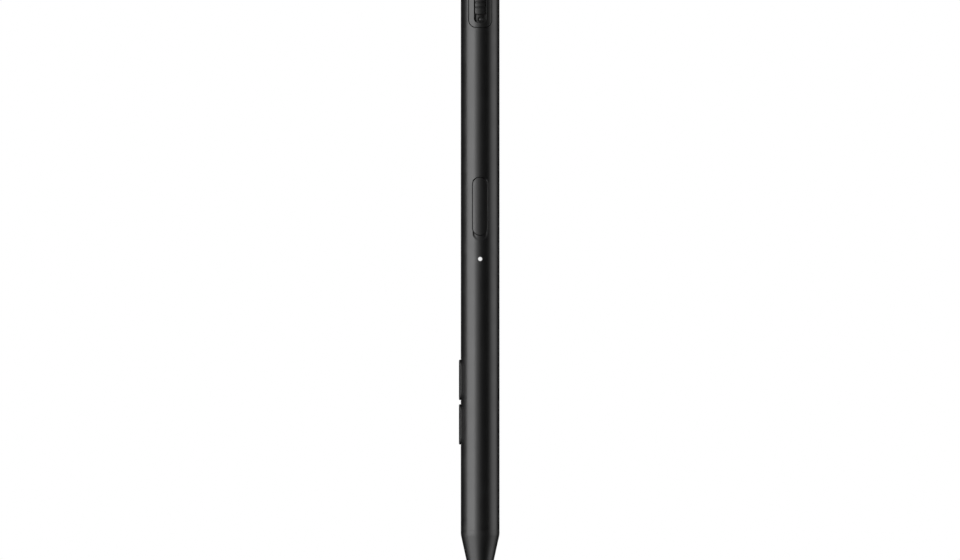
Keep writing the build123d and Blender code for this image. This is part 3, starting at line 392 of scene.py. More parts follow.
def make_piece(name, grids, finish, body, slot, *nodes):
    """A closed mesh from grids of points, welded where they meet, that stands for nodes. It rides on a body,
    or on none where none is given."""
    sizes = [g.points.shape[:2] for g in grids]
    firsts = np.cumsum([0] + [rows * columns for rows, columns in sizes])
    points = np.concatenate([g.points.reshape(-1, 3) for g in grids])
    edge = np.concatenate([np.broadcast_to(g.edge, s).ravel() for g, s in zip(grids, sizes)])
    faces = np.concatenate([grid_faces(*s, g.closed, f) for g, s, f in zip(grids, sizes, firsts)])
    mesh = bpy.data.meshes.new(name)
    mesh.from_pydata(points, [], faces)
    mesh.attributes.new("edge", "FLOAT", "POINT").data.foreach_set("value", edge.astype(np.float32))
    surface = bmesh.new()
    surface.from_mesh(mesh)
    bmesh.ops.remove_doubles(surface, verts=surface.verts, dist=WELD)
    bmesh.ops.dissolve_degenerate(surface, edges=surface.edges, dist=WELD / 10)
    bmesh.ops.recalc_face_normals(surface, faces=surface.faces)
    loose = sum(not e.is_manifold for e in surface.edges)
    surface.to_mesh(mesh)
    surface.free()
    if loose:
        raise RuntimeError(f"{name} has {loose} edges that aren't shared by two faces")
    mesh.shade_smooth()
    mesh.set_sharp_from_angle(angle=SHARP_ANGLE)
    mesh.materials.append(finish)
    piece = bpy.data.objects.new(name, mesh)
    bpy.context.scene.collection.objects.link(piece)
    if body:
        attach(piece, body)
    if nodes:
        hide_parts(*nodes)
    return piece


# Finishes


def rgba(colour, strength=1.0):
    """A colour at a strength, with full cover."""
    return (*(c * strength for c in colour), 1.0)


class Nodes:
    """A node tree, with short ways to add nodes to it and to fill their inputs."""

    def __init__(self, tree):
        self.tree = tree

    def fill(self, name, inputs):
        """Sets a node's inputs to constants, or links them to other nodes' outputs."""
        sockets = self.tree.nodes[name].inputs
        for key, value in inputs.items():
            if isinstance(value, bpy.types.NodeSocket):
                self.tree.links.new(value, sockets[key])
            else:
                sockets[key].default_value = value

    def add(self, kind, inputs, output=0, **settings):
        """One output of a new node."""
        node = self.tree.nodes.new(f"ShaderNode{kind}")
        for key, value in settings.items():
            setattr(node, key, value)
        self.fill(node.name, inputs)
        return node.outputs[output]

    def place(self):
        """Object coordinates."""
        return self.add("TexCoord", {}, "Object")

    def noise(self, size, detail=2, stretch=(1, 1, 1)):
        """Noise on object coordinates whose blobs have a given size, stretched along the axes."""
        mapped = self.add("Mapping", {"Vector": self.place(), "Scale": stretch}, "Vector")
        return self.add("TexNoise", {"Vector": mapped, "Scale": 1 / size, "Detail": detail}, "Fac")

    def ranged(self, value, low=0, high=1, start=0.3, stop=0.7, **settings):
        """A value spread over a new range."""
        spread = {"Value": value, "From Min": start, "From Max": stop, "To Min": low, "To Max": high}
        return self.add("MapRange", spread, "Result", **settings)

    def about(self, value, middle, spread):
        """A value spread evenly about a middle."""
        return self.ranged(value, middle - spread, middle + spread)

    def mixed(self, share, first, second):
        """Two colours mixed by a share."""
        return self.add("Mix", {0: share, 6: first, 7: second}, 2, data_type="RGBA")

    def shades(self, share, colour, first, second):
        """One colour at two strengths, mixed by a share."""
        return self.mixed(share, rgba(colour, first), rgba(colour, second))

    def joined(self, operation, *values):
        """Numbers joined by a sum, a product or the like."""
        return self.add("Math", dict(enumerate(values)), operation=operation)

    def bump(self, height, depth):
        """A normal that follows a height of a given depth."""
        return self.add("Bump", {"Height": height, "Strength": 1.0, "Distance": depth}, "Normal")

    def shade(self, inputs):
        """Fills the inputs of a material's shader."""
        self.fill("Principled BSDF", inputs)


def new_finish(name):
    """A node material and its nodes."""
    finish = bpy.data.materials.new(name)
    finish.use_nodes = True
    return finish, Nodes(finish.node_tree)


def satin(name, looks, colour, roughness, level, grain, depth):
    """Satin black: a fine blasted grain, cloudy gloss, and edges rubbed a little paler and smoother."""
    finish, nodes = new_finish(name)
    cloud_size, patch_size, smoothing = grain * 90, grain * 25, -0.06
    fine = nodes.noise(grain, 3)
    patchy = nodes.ranged(nodes.noise(patch_size, 3), start=0.35, stop=0.75)
    wear = nodes.joined("MULTIPLY", nodes.add("Attribute", {}, "Fac", attribute_name="edge"), patchy)
    plain = nodes.shades(nodes.ranged(fine), colour, 0.8, 1.2)
    matt = nodes.about(nodes.noise(cloud_size, 4), roughness, 0.03)
    nodes.shade(
        {
            "Base Color": nodes.mixed(wear, plain, rgba(looks.worn_colour)),
            "Roughness": nodes.joined("MULTIPLY_ADD", wear, smoothing, matt),
            "Specular IOR Level": level,
            "Normal": nodes.bump(fine, depth),
        }
    )
    return finish


def moulded(name, colour, roughness=0.5, grain=0.00008, depth=0.000002, level=0.5):
    """Moulded plastic or rubber: a fine even grain with a faint drift of tone."""
    finish, nodes = new_finish(name)
    drift_size = grain * 40
    fine = nodes.noise(grain, 3)
    nodes.shade(
        {
            "Base Color": nodes.shades(nodes.ranged(nodes.noise(drift_size, 3)), colour, 0.85, 1),
            "Roughness": nodes.about(fine, roughness, 0.05),
            "Specular IOR Level": level,
            "Normal": nodes.bump(fine, depth),
        }
    )
    return finish


def rubber(name, tone, roughness):
    """Dark rubber: a moulded finish with a coarser, deeper grain and little gloss."""
    return moulded(name, (tone, tone, tone), roughness, grain=0.00009, depth=0.000004, level=0.3)


def metal(name, colour, roughness=0.3, stretch=(1, 12, 12)):
    """Drawn or turned metal: fine lines along the pen and a cloudy polish."""
    finish, nodes = new_finish(name)
    line_size, cloud_size, depth = 0.0004, 0.0015, 0.0000008
    lines = nodes.noise(line_size, 4, stretch)
    nodes.shade(
        {
            "Base Color": nodes.shades(nodes.ranged(nodes.noise(cloud_size, 3)), colour, 0.85, 1),
            "Metallic": 1.0,
            "Roughness": nodes.about(lines, roughness, 0.08),
            "Normal": nodes.bump(lines, depth),
        }
    )
    return finish


def laminate(name, colour):
    """Circuit board: solder mask over square-cornered tracks, which show paler and stand proud."""
    finish, nodes = new_finish(name)
    mottle_size, depth = 0.0004, 0.00002
    bricks = {"Vector": nodes.place(), "Scale": 420.0, "Brick Width": 1.3, "Row Height": 0.35}
    mortar = {"Mortar Size": 0.09, "Mortar Smooth": 0.1}
    tracks = nodes.add("TexBrick", bricks | mortar, "Fac", offset=0.37)
    nodes.shade(
        {
            "Base Color": nodes.shades(tracks, colour, 1, 1.9),
            "Roughness": nodes.ranged(nodes.noise(mottle_size), 0.3, 0.42),
            "Normal": nodes.bump(tracks, depth),
        }
    )
    return finish


def striped(name, colour, stripe, size, roughness):
    """Film with fine stripes along the pen, such as the conductors of a ribbon."""
    finish, nodes = new_finish(name)
    mottle_size, depth = 0.0005, 0.00001
    bands = {"Vector": nodes.place(), "Scale": 1 / size, "Distortion": 0.0}
    wave = nodes.add("TexWave", bands, "Fac", bands_direction="Z")
    share = nodes.ranged(wave, start=0.45, stop=0.55)
    nodes.shade(
        {
            "Base Color": nodes.mixed(share, rgba(colour), rgba(stripe)),
            "Roughness": nodes.about(nodes.noise(mottle_size), roughness, 0.05),
            "Normal": nodes.bump(wave, depth),
        }
    )
    return finish


def lit_lens(name, colour, radius, station):
    """Milky lens lit from behind: brightest in the middle and a little dimmer towards its rim."""
    finish, nodes = new_finish(name)
    milk_size, mottle_size, dim_start = radius * 0.3, radius * 0.2, radius * 0.55
    flat = nodes.add("Mapping", {"Vector": nodes.place(), "Scale": (1, 0, 1)}, "Vector")
    centre = (TIP_X + station, 0, AXIS_HEIGHT)
    away = nodes.add("VectorMath", {0: flat, 1: centre}, "Value", operation="DISTANCE")
    nodes.shade(
        {
            "Base Color": nodes.shades(nodes.ranged(nodes.noise(milk_size)), colour, 0.25, 0.3),
            "Roughness": nodes.ranged(nodes.noise(mottle_size), 0.15, 0.25),
            "Emission Color": nodes.shades(nodes.ranged(away, 0, 1, dim_start, radius), colour, 1, 0.62),
            "Emission Strength": 0.62,
        }
    )
    return finish


# Sizes of the grain on the black pieces, and its depths on the mouldings and on the blasted barrel
FINE_GRAIN = 0.00005
COARSE_GRAIN = 0.00006
MOULDED_DEPTH = 0.0000022
BLASTED_DEPTH = 0.000002


def black_moulding(context, name, grain, level=None):
    """The finish of a black moulded piece, with the black finishes' specular level or its own."""
    looks = context.scene.stylus_finishes
    level = looks.reflectance if level is None else level
    return satin(
        name, looks, looks.moulding_colour, looks.moulding_roughness, level, grain, MOULDED_DEPTH
    )


# The patches of barrel around its windows: half their angle, and their room past the windows' ends
PATCH_ANGLE = math.radians(60)
LIGHT_ROOM = 0.0013
SCOOP_ROOM = 0.0024
WINDOW_ROOM = 0.0014

# Powers by which the nail scoop's depth fades and its wall falls
SCOOP_FADE = 0.9
SCOOP_WALL = 1.2


def patch_edge(shape, start, end):
    """The edge of the patch of barrel around a window, point for point with the window's outline: its ends
    lie at two stations and its sides at plus and minus the patch's angle."""
    degrees = np.degrees(shape.turn)
    slope = np.where(degrees < 135, degrees, 180 - degrees) / 45
    slope = np.where(degrees > 225, (degrees - 360) / 45, slope)
    from_side = np.minimum(np.abs(degrees - 90), np.abs(degrees - 270)) / 45
    straight = shape.centre + shape.lean * shape.reach
    end_station = np.where(np.cos(shape.turn) > 0, end, start)
    station = straight + np.clip(from_side, 0, 1) * (end_station - straight)
    return station, PATCH_ANGLE * np.clip(slope, -1, 1)


def window_section(sizes, shape, radius, start, end, scoop_width=0.0):
    """A length of the tube with one oblong window: a patch of rings from the patch's edge to the window's
    rounded lip, down its wall and out again along the bore, and the plain rest of the tube, outside and in.
    The lip's drop is that of a quarter circle, and a nail scoop's adds to it."""
    lip, bore = sizes.lip, sizes.bore_radius
    edge_station, edge_angle = patch_edge(shape, start, end)
    half_turn = np.linspace(0, np.pi, SCOOP_STEPS if scoop_width else RIM_STEPS)[:, None]
    away = (1 + np.cos(half_turn)) / 2 * scoop_rim(sizes, shape.turn, radius, scoop_width)
    along, across = outline(shape, radius + away)
    drop = lip - np.sqrt(lip**2 - np.maximum(lip - away, 0) ** 2)
    if scoop_width:
        drop = drop + scoop_drop(sizes, shape.centre - shape.reach, scoop_width, along, across)
    shell = RADIUS - drop
    wall_shell = shell[-1] + (bore - shell[-1]) * WALL_SHARES[:, None]

    def spread(row, level, shares):
        """Rings on a cylinder between one row of the window's points and the patch's edge."""
        rim_angle = np.arcsin(across[row] / level)
        angle = rim_angle + shares[:, None] * (edge_angle - rim_angle)
        stations = along[row] + shares[:, None] * (edge_station - along[row])
        return facing_points(stations, level * np.sin(angle), level * np.cos(angle), shape.facing)

    lips = facing_points(along, across, np.sqrt(shell**2 - across**2), shape.facing)
    wall = facing_points(along[-1], across[-1], np.sqrt(wall_shell**2 - across[-1] ** 2), shape.facing)
    fallen = np.minimum(drop / lip, 1)
    wear = 4 * fallen * (1 - fallen)
    patch = stacked(spread(0, RADIUS, PATCH_SHARES), (lips, wear), wall, spread(-1, bore, BORE_SHARES))
    # The rest starts at the patch's upper side, whose points face within 45 degrees of straight across
    rows = edge_station[np.abs(np.degrees(shape.turn) - 90) < 45.1][:, None]
    offset = np.pi / 2 if shape.facing == "top" else 0
    steps = round(TURN_STEPS * (1 - PATCH_ANGLE / np.pi))
    rest = offset + np.linspace(PATCH_ANGLE, 2 * np.pi - PATCH_ANGLE, steps + 1)
    return [patch, *(Grid(around(rows, r, rest), False) for r in (RADIUS, bore))]


def plain_section(sizes, start, end):
    """A length of the tube without windows, outside and in."""
    rows = np.linspace(start, end, max(2, round((end - start) / PLAIN_STEP)))
    return [turned(np.stack([rows, np.full_like(rows, r)], axis=1)) for r in (RADIUS, sizes.bore_radius)]


def scoop_rim(sizes, turn, window_radius, half_width):
    """How far the rim lies outside a window, by the angle that its outline faces: the lip, or at the nib end
    a nail scoop of a given half width. Seen from the middle of the window's nib end, the scoop's outline is
    the far side of a circle whose centre leads by the scoop's reach, or else a straight side. Lip and scoop
    are joined by a smooth maximum: the larger, and where they differ by less than a blend, a quarter of the
    square of what is left of it, over it."""
    plain = np.full_like(turn, sizes.lip)
    if not half_width:
        return plain
    lead, blend = sizes.scoop_reach, sizes.scoop_blend
    ahead, side = np.maximum(-np.cos(turn), 0), np.maximum(np.abs(np.sin(turn)), TINY)
    circle = lead * ahead + np.sqrt(np.maximum(half_width**2 - (lead * side) ** 2, 0))
    far = np.where(half_width * ahead > lead * side, circle, half_width / side)
    scoop = far * (ahead > 0) - window_radius
    near = np.maximum(blend - np.abs(scoop - plain), 0)
    return np.maximum(scoop, plain) + near**2 / (4 * blend)


def scoop_drop(sizes, window_centre, half_width, along, across):
    """How deep the nail scoop is at a point: a wall just inside its round-ended outline, which falls short
    of the floor by a power of the share of the wall that is left, times a depth that is full at the cover's
    edge and fades as a power of the share of the scoop's reach that is left."""
    cover_start = window_centre - half_width
    past_centre = np.minimum(along - window_centre + sizes.scoop_reach, 0)
    inside = half_width - np.hypot(past_centre, across)
    wall = 1 - (1 - np.clip(inside / sizes.scoop_wall, 0, 1)) ** SCOOP_WALL
    left = 1 - np.clip((cover_start - along) / sizes.scoop_reach, 0, 1)
    return sizes.scoop_depth * left**SCOOP_FADE * wall


class STYLUS_OT_barrel(bpy.types.Operator):
    """Builds the barrel: a tube whose windows have rounded lips, with a nail scoop at the port cover."""

    bl_idname = "stylus.barrel"
    bl_label = "Barrel"

    def execute(self, context):
        sizes = context.scene.stylus_sizes
        looks = context.scene.stylus_finishes
        cover, bezel = extent("port_cover"), extent("switch_bezel")
        light = extent("light_pipe").middle
        lower, upper = extent("lower_button").middle, extent("upper_button").middle
        between = (lower + upper) / 2
        sides = even_shares(WINDOW_SIDE_STEPS)
        key_reach = (sizes.key_length - sizes.key_width) / 2
        lower_key, upper_key = (oblong(c, key_reach, sides, facing="top") for c in (lower, upper))
        key_radius = sizes.key_width / 2 + sizes.key_gap
        light_radius = sizes.light_radius + sizes.light_gap
        cover_hole = fitted("port_cover", sides)
        cover_radius = cover.half + sizes.cover_gap
        bezel_hole = fitted("switch_bezel", sides, sizes.bezel_corner)
        bezel_radius = sizes.bezel_corner + sizes.bezel_gap
        windows = [
            (lower_key, key_radius, 2 * lower - between, between),
            (upper_key, key_radius, between, 2 * upper - between),
            (oblong(light), light_radius, light - LIGHT_ROOM, light + LIGHT_ROOM),
            (cover_hole, cover_radius, cover.start - SCOOP_ROOM, cover.end + WINDOW_ROOM, cover.half),
            (bezel_hole, bezel_radius, bezel.start - WINDOW_ROOM, bezel.end + WINDOW_ROOM),
        ]
        lip = sizes.seam_lip
        sine, fall = quarter()
        ends = [sizes.barrel_start + lip] + [s for w in windows for s in w[2:4]] + [sizes.barrel_end - lip]
        grids = [g for w in windows for g in window_section(sizes, *w)]
        for start, end in zip(ends[::2], ends[1::2]):
            if end - start > WELD:
                grids += plain_section(sizes, start, end)
        for seam, inward in ((sizes.barrel_start, lip), (sizes.barrel_end, -lip)):
            stations = np.append(seam + inward * (1 - sine), [seam, seam + inward])
            radii = np.append(RADIUS - lip * fall, [sizes.bore_radius] * 2)
            grids.append(turned(np.stack([stations, radii], axis=1)))
        colour, roughness, level = looks.barrel_colour, looks.barrel_roughness, looks.reflectance
        finish = satin("anodised_black", looks, colour, roughness, level, FINE_GRAIN, BLASTED_DEPTH)
        make_piece("barrel_tube", grids, finish, "pen_body", "barrel_finish", "barrel")
        return {"FINISHED"}


# The nose cone: its bore's steps to smaller radii, its mouth, its shoulder, and the rounding of its corners
SPIGOT_RADIUS = 0.00403
NOSE_BORE = ((0.0270156, 0.0029), (0.017, 0.00175), (0.012, 0.00125), (0.009, 0.00095))
MOUTH_STATION = 0.0036
MOUTH_RADIUS = 0.0012
SHOULDER_STATION = 0.0198
BORE_EDGE = 0.00003
MOUTH_INNER_EDGE = 0.00006
MOUTH_OUTER_EDGE = 0.000096
SHOULDER_EDGE = 0.0005

# The nib: its round tip, its cone, its collar and its stem
NIB_TIP_RADIUS = 0.0005
NIB_RADIUS = 0.00085
NIB_CONE_END = 0.003
NIB_COLLAR_END = 0.0051
NIB_STEM_RADIUS = 0.00075
NIB_END = 0.016


class STYLUS_OT_nose(bpy.types.Operator):
    """Builds the nose cone and the nib, both turned from profiles."""

    bl_idname = "stylus.nose"
    bl_label = "Nose cone and nib"

    def execute(self, context):
        sizes = context.scene.stylus_sizes
        looks = context.scene.stylus_finishes
        steps = [(sizes.barrel_start, SPIGOT_RADIUS), *NOSE_BORE, (MOUTH_STATION, MOUTH_RADIUS)]
        corners = [*stepped(RADIUS, steps), (SHOULDER_STATION, RADIUS)]
        bore_edges = [BORE_EDGE] * (1 + 2 * len(NOSE_BORE))
        setbacks = [sizes.seam_lip, *bore_edges, MOUTH_INNER_EDGE, MOUTH_OUTER_EDGE, SHOULDER_EDGE]
        profile = softened(corners, setbacks, NOSE_CORNER_STEPS)
        shell = turned([*profile, profile[0]])
        finish = black_moulding(context, "nose_black", COARSE_GRAIN)
        make_piece("nose_shell", [shell], finish, "pen_body", "nose_plastic", "nose_cone")
        angle = np.linspace(0, np.pi / 2, NIB_STEPS)
        tip = NIB_TIP_RADIUS * np.stack([1 - np.cos(angle), np.sin(angle)], axis=1)
        stem = stepped(NIB_RADIUS, [(NIB_COLLAR_END, NIB_STEM_RADIUS), (NIB_END, 0)])
        point = turned([*tip, (NIB_CONE_END, NIB_RADIUS), *stem])
        finish = moulded("nib_polymer", looks.nib_colour, 0.42, COARSE_GRAIN, depth=0.0000015)
        make_piece("nib_point", [point], finish, "nib_unit", "nib_polymer", "nib")
        return {"FINISHED"}


# The pressure pad's rounding and waist
PAD_EDGE = 0.00018
PAD_WAIST = 0.00006


class STYLUS_OT_pad(bpy.types.Operator):
    """Builds the rubber pad behind the nib's holder: a round-edged disc that the nib presses flatter."""

    bl_idname = "stylus.pad"
    bl_label = "Pressure pad"

    def execute(self, context):
        pad = extent("pressure_pad")
        rim = [(pad.start, pad.half), (pad.middle, pad.half - PAD_WAIST), (pad.end, pad.half)]
        profile = softened([(pad.start, 0), *rim, (pad.end, 0)], [0, PAD_EDGE, PAD_EDGE, PAD_EDGE, 0])
        finish = rubber("pad_rubber", 0.03, 0.75)
        piece = make_piece("pad_disc", [turned(profile)], finish, "pen_body", "pad_rubber", "pressure_pad")
        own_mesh(piece)
        return {"FINISHED"}


# The tail cap: its hollow, its spigot, the groove at its seam and its round end
TAIL_HOLLOW_RADIUS = 0.00318
TAIL_HOLLOW_END = 0.1605
TAIL_SPIGOT_START = 0.1563
TAIL_GROOVE_WIDTH = 0.0006
TAIL_GROOVE_DEPTH = 0.0003
TAIL_EDGE = 0.00005
TAIL_END_RADIUS = 0.002


class STYLUS_OT_tail(bpy.types.Operator):
    """Builds the tail cap, turned from a profile with a fine groove at its seam and a round end."""

    bl_idname = "stylus.tail"
    bl_label = "Tail cap"

    def execute(self, context):
        seam = context.scene.stylus_sizes.barrel_end
        groove_end = seam + TAIL_GROOVE_WIDTH
        groove = [(seam, RADIUS - TAIL_GROOVE_DEPTH), (groove_end, RADIUS)]
        steps = [(TAIL_SPIGOT_START, SPIGOT_RADIUS), *groove]
        corners = [(TAIL_HOLLOW_END, TAIL_HOLLOW_RADIUS), *stepped(TAIL_HOLLOW_RADIUS, steps)]
        setbacks = [0] + [TAIL_EDGE] * len(corners)
        # The chain is closed at the end's middle, whose points and the last one before them are left out
        ring = softened([(LENGTH, 0), *corners], setbacks, CORNER_STEPS)[CORNER_STEPS + 1 : -1]
        angle = np.linspace(np.pi / 2, 0, DOME_STEPS)
        dome = TAIL_END_RADIUS * (np.stack([np.cos(angle), np.sin(angle)], axis=1) - 1) + (LENGTH, RADIUS)
        profile = [(TAIL_HOLLOW_END, 0), *ring, (groove_end + TAIL_EDGE, RADIUS), *dome, (LENGTH, 0)]
        finish = black_moulding(context, "tail_black", COARSE_GRAIN)
        make_piece("tail_shell", [turned(profile)], finish, "pen_body", "tail_plastic", "tail_cap")
        return {"FINISHED"}


# The side buttons below the barrel's face: flange, wall and boss, and how far above it their sides begin
KEY_SIDE_TOP = 0.0001
KEY_FLANGE = 0.0003
KEY_WALL = 0.0005
KEY_BOSS_RADIUS = 0.001
KEY_BOSS_END = 0.0022


class STYLUS_OT_buttons(bpy.types.Operator):
    """Builds the two side buttons: keys whose crown follows a circle about the axis and falls by a square
    law towards both ends, with rounded rims, a flange inside the barrel and a boss."""

    bl_idname = "stylus.buttons"
    bl_label = "Side buttons"

    def execute(self, context):
        sizes = context.scene.stylus_sizes
        level = context.scene.stylus_finishes.button_reflectance
        finish = black_moulding(context, "button_black", FINE_GRAIN, level)
        radius = sizes.key_width / 2
        wide = radius + KEY_FLANGE
        reach = (sizes.key_length - sizes.key_width) / 2
        shell = sizes.bore_radius - sizes.key_gap
        under = shell - KEY_WALL
        for side in ("lower", "upper"):
            centre = extent(f"{side}_button").middle
            shape = oblong(centre, reach, even_shares(KEY_SIDE_STEPS), facing="top")

            def eased(stations):
                past = np.maximum(np.abs(stations - centre) - sizes.key_length / 2 + sizes.key_ease, 0)
                return RADIUS + sizes.key_proud - sizes.key_fall * (past / sizes.key_ease) ** 2

            face = crowned(shape, radius, sizes.key_edge, eased)
            sides = [(radius, RADIUS + KEY_SIDE_TOP), (radius, shell), (wide, shell), (wide, under)]
            turn = np.linspace(0, 2 * np.pi, len(shape.turn), endpoint=False) - np.pi / 4
            boss = shape._replace(turn=turn, lean=0, shift=0)
            root = cylinder_rings(boss, [(KEY_BOSS_RADIUS, under)])
            foot = level_rings(boss, [(KEY_BOSS_RADIUS, KEY_BOSS_END), (0, KEY_BOSS_END)])
            grid = stacked(face, cylinder_rings(shape, sides), root, foot)
            make_piece(f"{side}_key", [grid], finish, f"{side}_button", "button_plastic", f"{side}_button")
        return {"FINISHED"}


# The light's lens: its rim's rounding, how far below the barrel's face its side begins, and its flange
LENS_EDGE = 0.00006
LENS_SIDE_TOP = 0.0003
LENS_FLANGE_RADIUS = 0.00095
LENS_FLANGE_TOP = 0.0038
LENS_BASE = 0.00345


class STYLUS_OT_light(bpy.types.Operator):
    """Builds the status light's lens, flush with the barrel, with its flange inside."""

    bl_idname = "stylus.light"
    bl_label = "Status light"

    def execute(self, context):
        looks = context.scene.stylus_finishes
        station = extent("light_pipe").middle
        radius = context.scene.stylus_sizes.light_radius
        lens = oblong(station)
        side = [(radius, RADIUS - LENS_SIDE_TOP), (radius, LENS_FLANGE_TOP)]
        flange = [(LENS_FLANGE_RADIUS, LENS_FLANGE_TOP), (LENS_FLANGE_RADIUS, LENS_BASE), (0, LENS_BASE)]
        grid = stacked(crowned(lens, radius, LENS_EDGE), level_rings(lens, side + flange))
        finish = lit_lens("lit_lens", looks.light_colour, radius, station)
        make_piece("light_lens", [grid], finish, "pen_body", "light_pipe_clear", "light_pipe")
        return {"FINISHED"}


# The port cover's underside and the rim that plugs the socket
COVER_UNDER = 0.00355
COVER_EDGE = 0.00005
PLUG_HALF_LENGTH = 0.00397
PLUG_RADIUS = 0.00108
PLUG_WALL = 0.00055
PLUG_EDGE = 0.00008

# The strap with its peg
STRAP_THICKNESS = 0.00035
STRAP_EDGE = 0.00008
PEG_STATION = 0.1096
PEG_RADIUS = 0.0005
PEG_END = 0.0019
PEG_EDGE = 0.0001

# The plate that frames the socket: how far it lies below the cover, its thickness, edges and margins
PLATE_DROP = 0.00005
PLATE_THICKNESS = 0.00008
PLATE_EDGE = 0.00003
PLATE_MARGIN = 0.0001
PLATE_NIB_MARGIN = 0.00015
PLATE_STRAP_GAP = 0.0004
PLATE_OVERLAP = 0.00012

# Rings of the plate's mouth: how far outside the socket's outline, and how far below the plate's face
PLATE_MOUTH = ((-0.00002, 0.00008), (0.00002, 0.00003), (0.00008, 0))


class STYLUS_OT_port(bpy.types.Operator):
    """Builds the port's cover, the plate that frames its socket, and the cover's rubber strap."""

    bl_idname = "stylus.port"
    bl_label = "Port cover and strap"

    def execute(self, context):
        self.build_cover(context)
        self.build_plate(context)
        self.build_strap()
        return {"FINISHED"}

    def build_cover(self, context):
        """A round-ended lid flush with the barrel, and a hollow rim below it with the socket's outline."""
        cover = extent("port_cover")
        sides = even_shares(PORT_SIDE_STEPS)
        lid = fitted("port_cover", sides)
        face = crowned(lid, cover.half, context.scene.stylus_sizes.cover_lip)
        skirt = [(cover.half, COVER_UNDER + COVER_EDGE), (cover.half - COVER_EDGE, COVER_UNDER)]
        plug = oblong(extent("port_tongue").middle, PLUG_HALF_LENGTH - PLUG_RADIUS, sides)
        outside = [(PLUG_RADIUS, COVER_UNDER), (PLUG_RADIUS, cover.inner + PLUG_EDGE)]
        hollow = PLUG_RADIUS - PLUG_WALL
        inside = [(hollow, cover.inner), (hollow, COVER_UNDER), (0, COVER_UNDER)]
        rim = level_rings(plug, [*outside, (PLUG_RADIUS - PLUG_EDGE, cover.inner), *inside])
        grid = stacked(face, level_rings(lid, skirt), rim)
        finish = black_moulding(context, "cover_black", FINE_GRAIN)
        make_piece("port_lid", [grid], finish, "port_cover", "cover_plastic", "port_cover")

    def build_plate(self, context):
        """A thin plate behind the window that frames the socket: a ring between the socket's outline and one
        just larger than the window's, with a mouth that slopes down to the socket's rim."""
        cover, shell = extent("port_cover"), extent("port_shell")
        port = extent("port_tongue").middle
        sides = even_shares(PORT_SIDE_STEPS)
        socket = oblong(port, shell.end - port - shell.half, sides)
        start = cover.start - context.scene.stylus_sizes.cover_gap - PLATE_NIB_MARGIN
        end = extent("cover_strap").start - PLATE_STRAP_GAP
        half = cover.half + PLATE_MARGIN
        plate = oblong((start + end) / 2, (end - start) / 2 - half, sides)
        top = COVER_UNDER - PLATE_DROP
        base = top - PLATE_THICKNESS
        seat = (shell.half - PLATE_OVERLAP, shell.outer)
        mouth = [(shell.half + past, top - below) for past, below in PLATE_MOUTH]
        back = [(mouth[-1][0], base), (shell.half, shell.outer), seat]
        border = [(half - PLATE_EDGE, top), (half, top - PLATE_EDGE), (half, base)]
        rings = [level_rings(socket, [seat, *mouth]), level_rings(plate, border), level_rings(socket, back)]
        finish = black_moulding(context, "surround_black", COARSE_GRAIN)
        make_piece("port_surround", [stacked(*rings)], finish, "pen_body", "bezel_plastic")

    def build_strap(self):
        """A round-cornered section carried along the pen and closed at both ends, and a round peg."""
        strap = extent("cover_strap")
        level = COVER_UNDER - STRAP_THICKNESS / 2
        corners = np.array([(1, 1), (-1, 1), (-1, -1), (1, -1)]) * (strap.half, STRAP_THICKNESS / 2)
        across, out = softened(corners, [STRAP_EDGE] * 4, CORNER_STEPS).T
        stations = np.pad(np.linspace(strap.start, strap.end, STRAP_STEPS), 1, mode="edge")[:, None]
        size = np.pad(np.ones(STRAP_STEPS), 1)[:, None]
        band = facing_points(stations, size * across, level + size * out)
        shank = [(0, level), (PEG_RADIUS, level), (PEG_RADIUS, PEG_END + PEG_EDGE)]
        peg = level_rings(oblong(PEG_STATION), [*shank, (PEG_RADIUS - PEG_EDGE, PEG_END), (0, PEG_END)])
        finish = rubber("strap_rubber", 0.012, 0.7)
        piece = make_piece("lid_strap", [Grid(band), Grid(peg)], finish, None, "strap_rubber", "cover_strap")
        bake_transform(piece)


# The switch bezel's slot and underside
SLOT_HALF_WIDTH = 0.001475
SLOT_LENGTH = 0.0096
SLOT_FLOOR = 0.00375
SLOT_FOOT = 0.0001
SLOT_LIP_SHARE = 0.6
BEZEL_UNDER = 0.0029

# How many lips below the barrel's face the bezel's wall has a ring of its own
BEZEL_WALL_LIPS = 3

# Shares of the bezel's sides: evenly spaced as far as the cut through its floor, and one past it
BEZEL_CUT = -0.763
BEZEL_SIDES = np.append(np.linspace(1, BEZEL_CUT, 16)[1:], -0.88)

# The pit of the pale dot, the opening for the slider's stem, and how far its rays lean towards its corners
PIT_RADIUS = 0.0006
PIT_FLOOR = 0.00335
PIT_EDGE = 0.00006
OPENING_HALVES = (0.00245, 0.0006)
OPENING_LEAN = 0.35

# The slider's rim, underside and stem, and its grooves' number and easing
SLIDER_LIP = 0.0002
SLIDER_UNDER = 0.0038
SLIDER_EDGE = 0.00005
STEM_RADIUS = 0.00055
STEM_HALF_LENGTH = 0.0015
STEM_BARB = 0.0003
STEM_CATCH = 0.0028
GROOVES = 4
GROOVE_EASE = 0.00002

# The pale dot's dome, and the gap between the ring below it and the dome
MARK_DOME = 0.00012
MARK_STEP = 0.00002


def split_outline(ring, first, last):
    """An outline cut in two by a straight line between two of its points: the part between them, and the
    rest, each closed along the cut by evenly spaced points."""
    share = np.linspace(0, 1, CUT_STEPS + 1)[1:-1, None]
    cut = ring[last] + share * (ring[first] - ring[last])
    near = np.concatenate([ring[first : last + 1], cut])
    far = np.concatenate([ring[last:], ring[: first + 1], cut[::-1]])
    return near, far


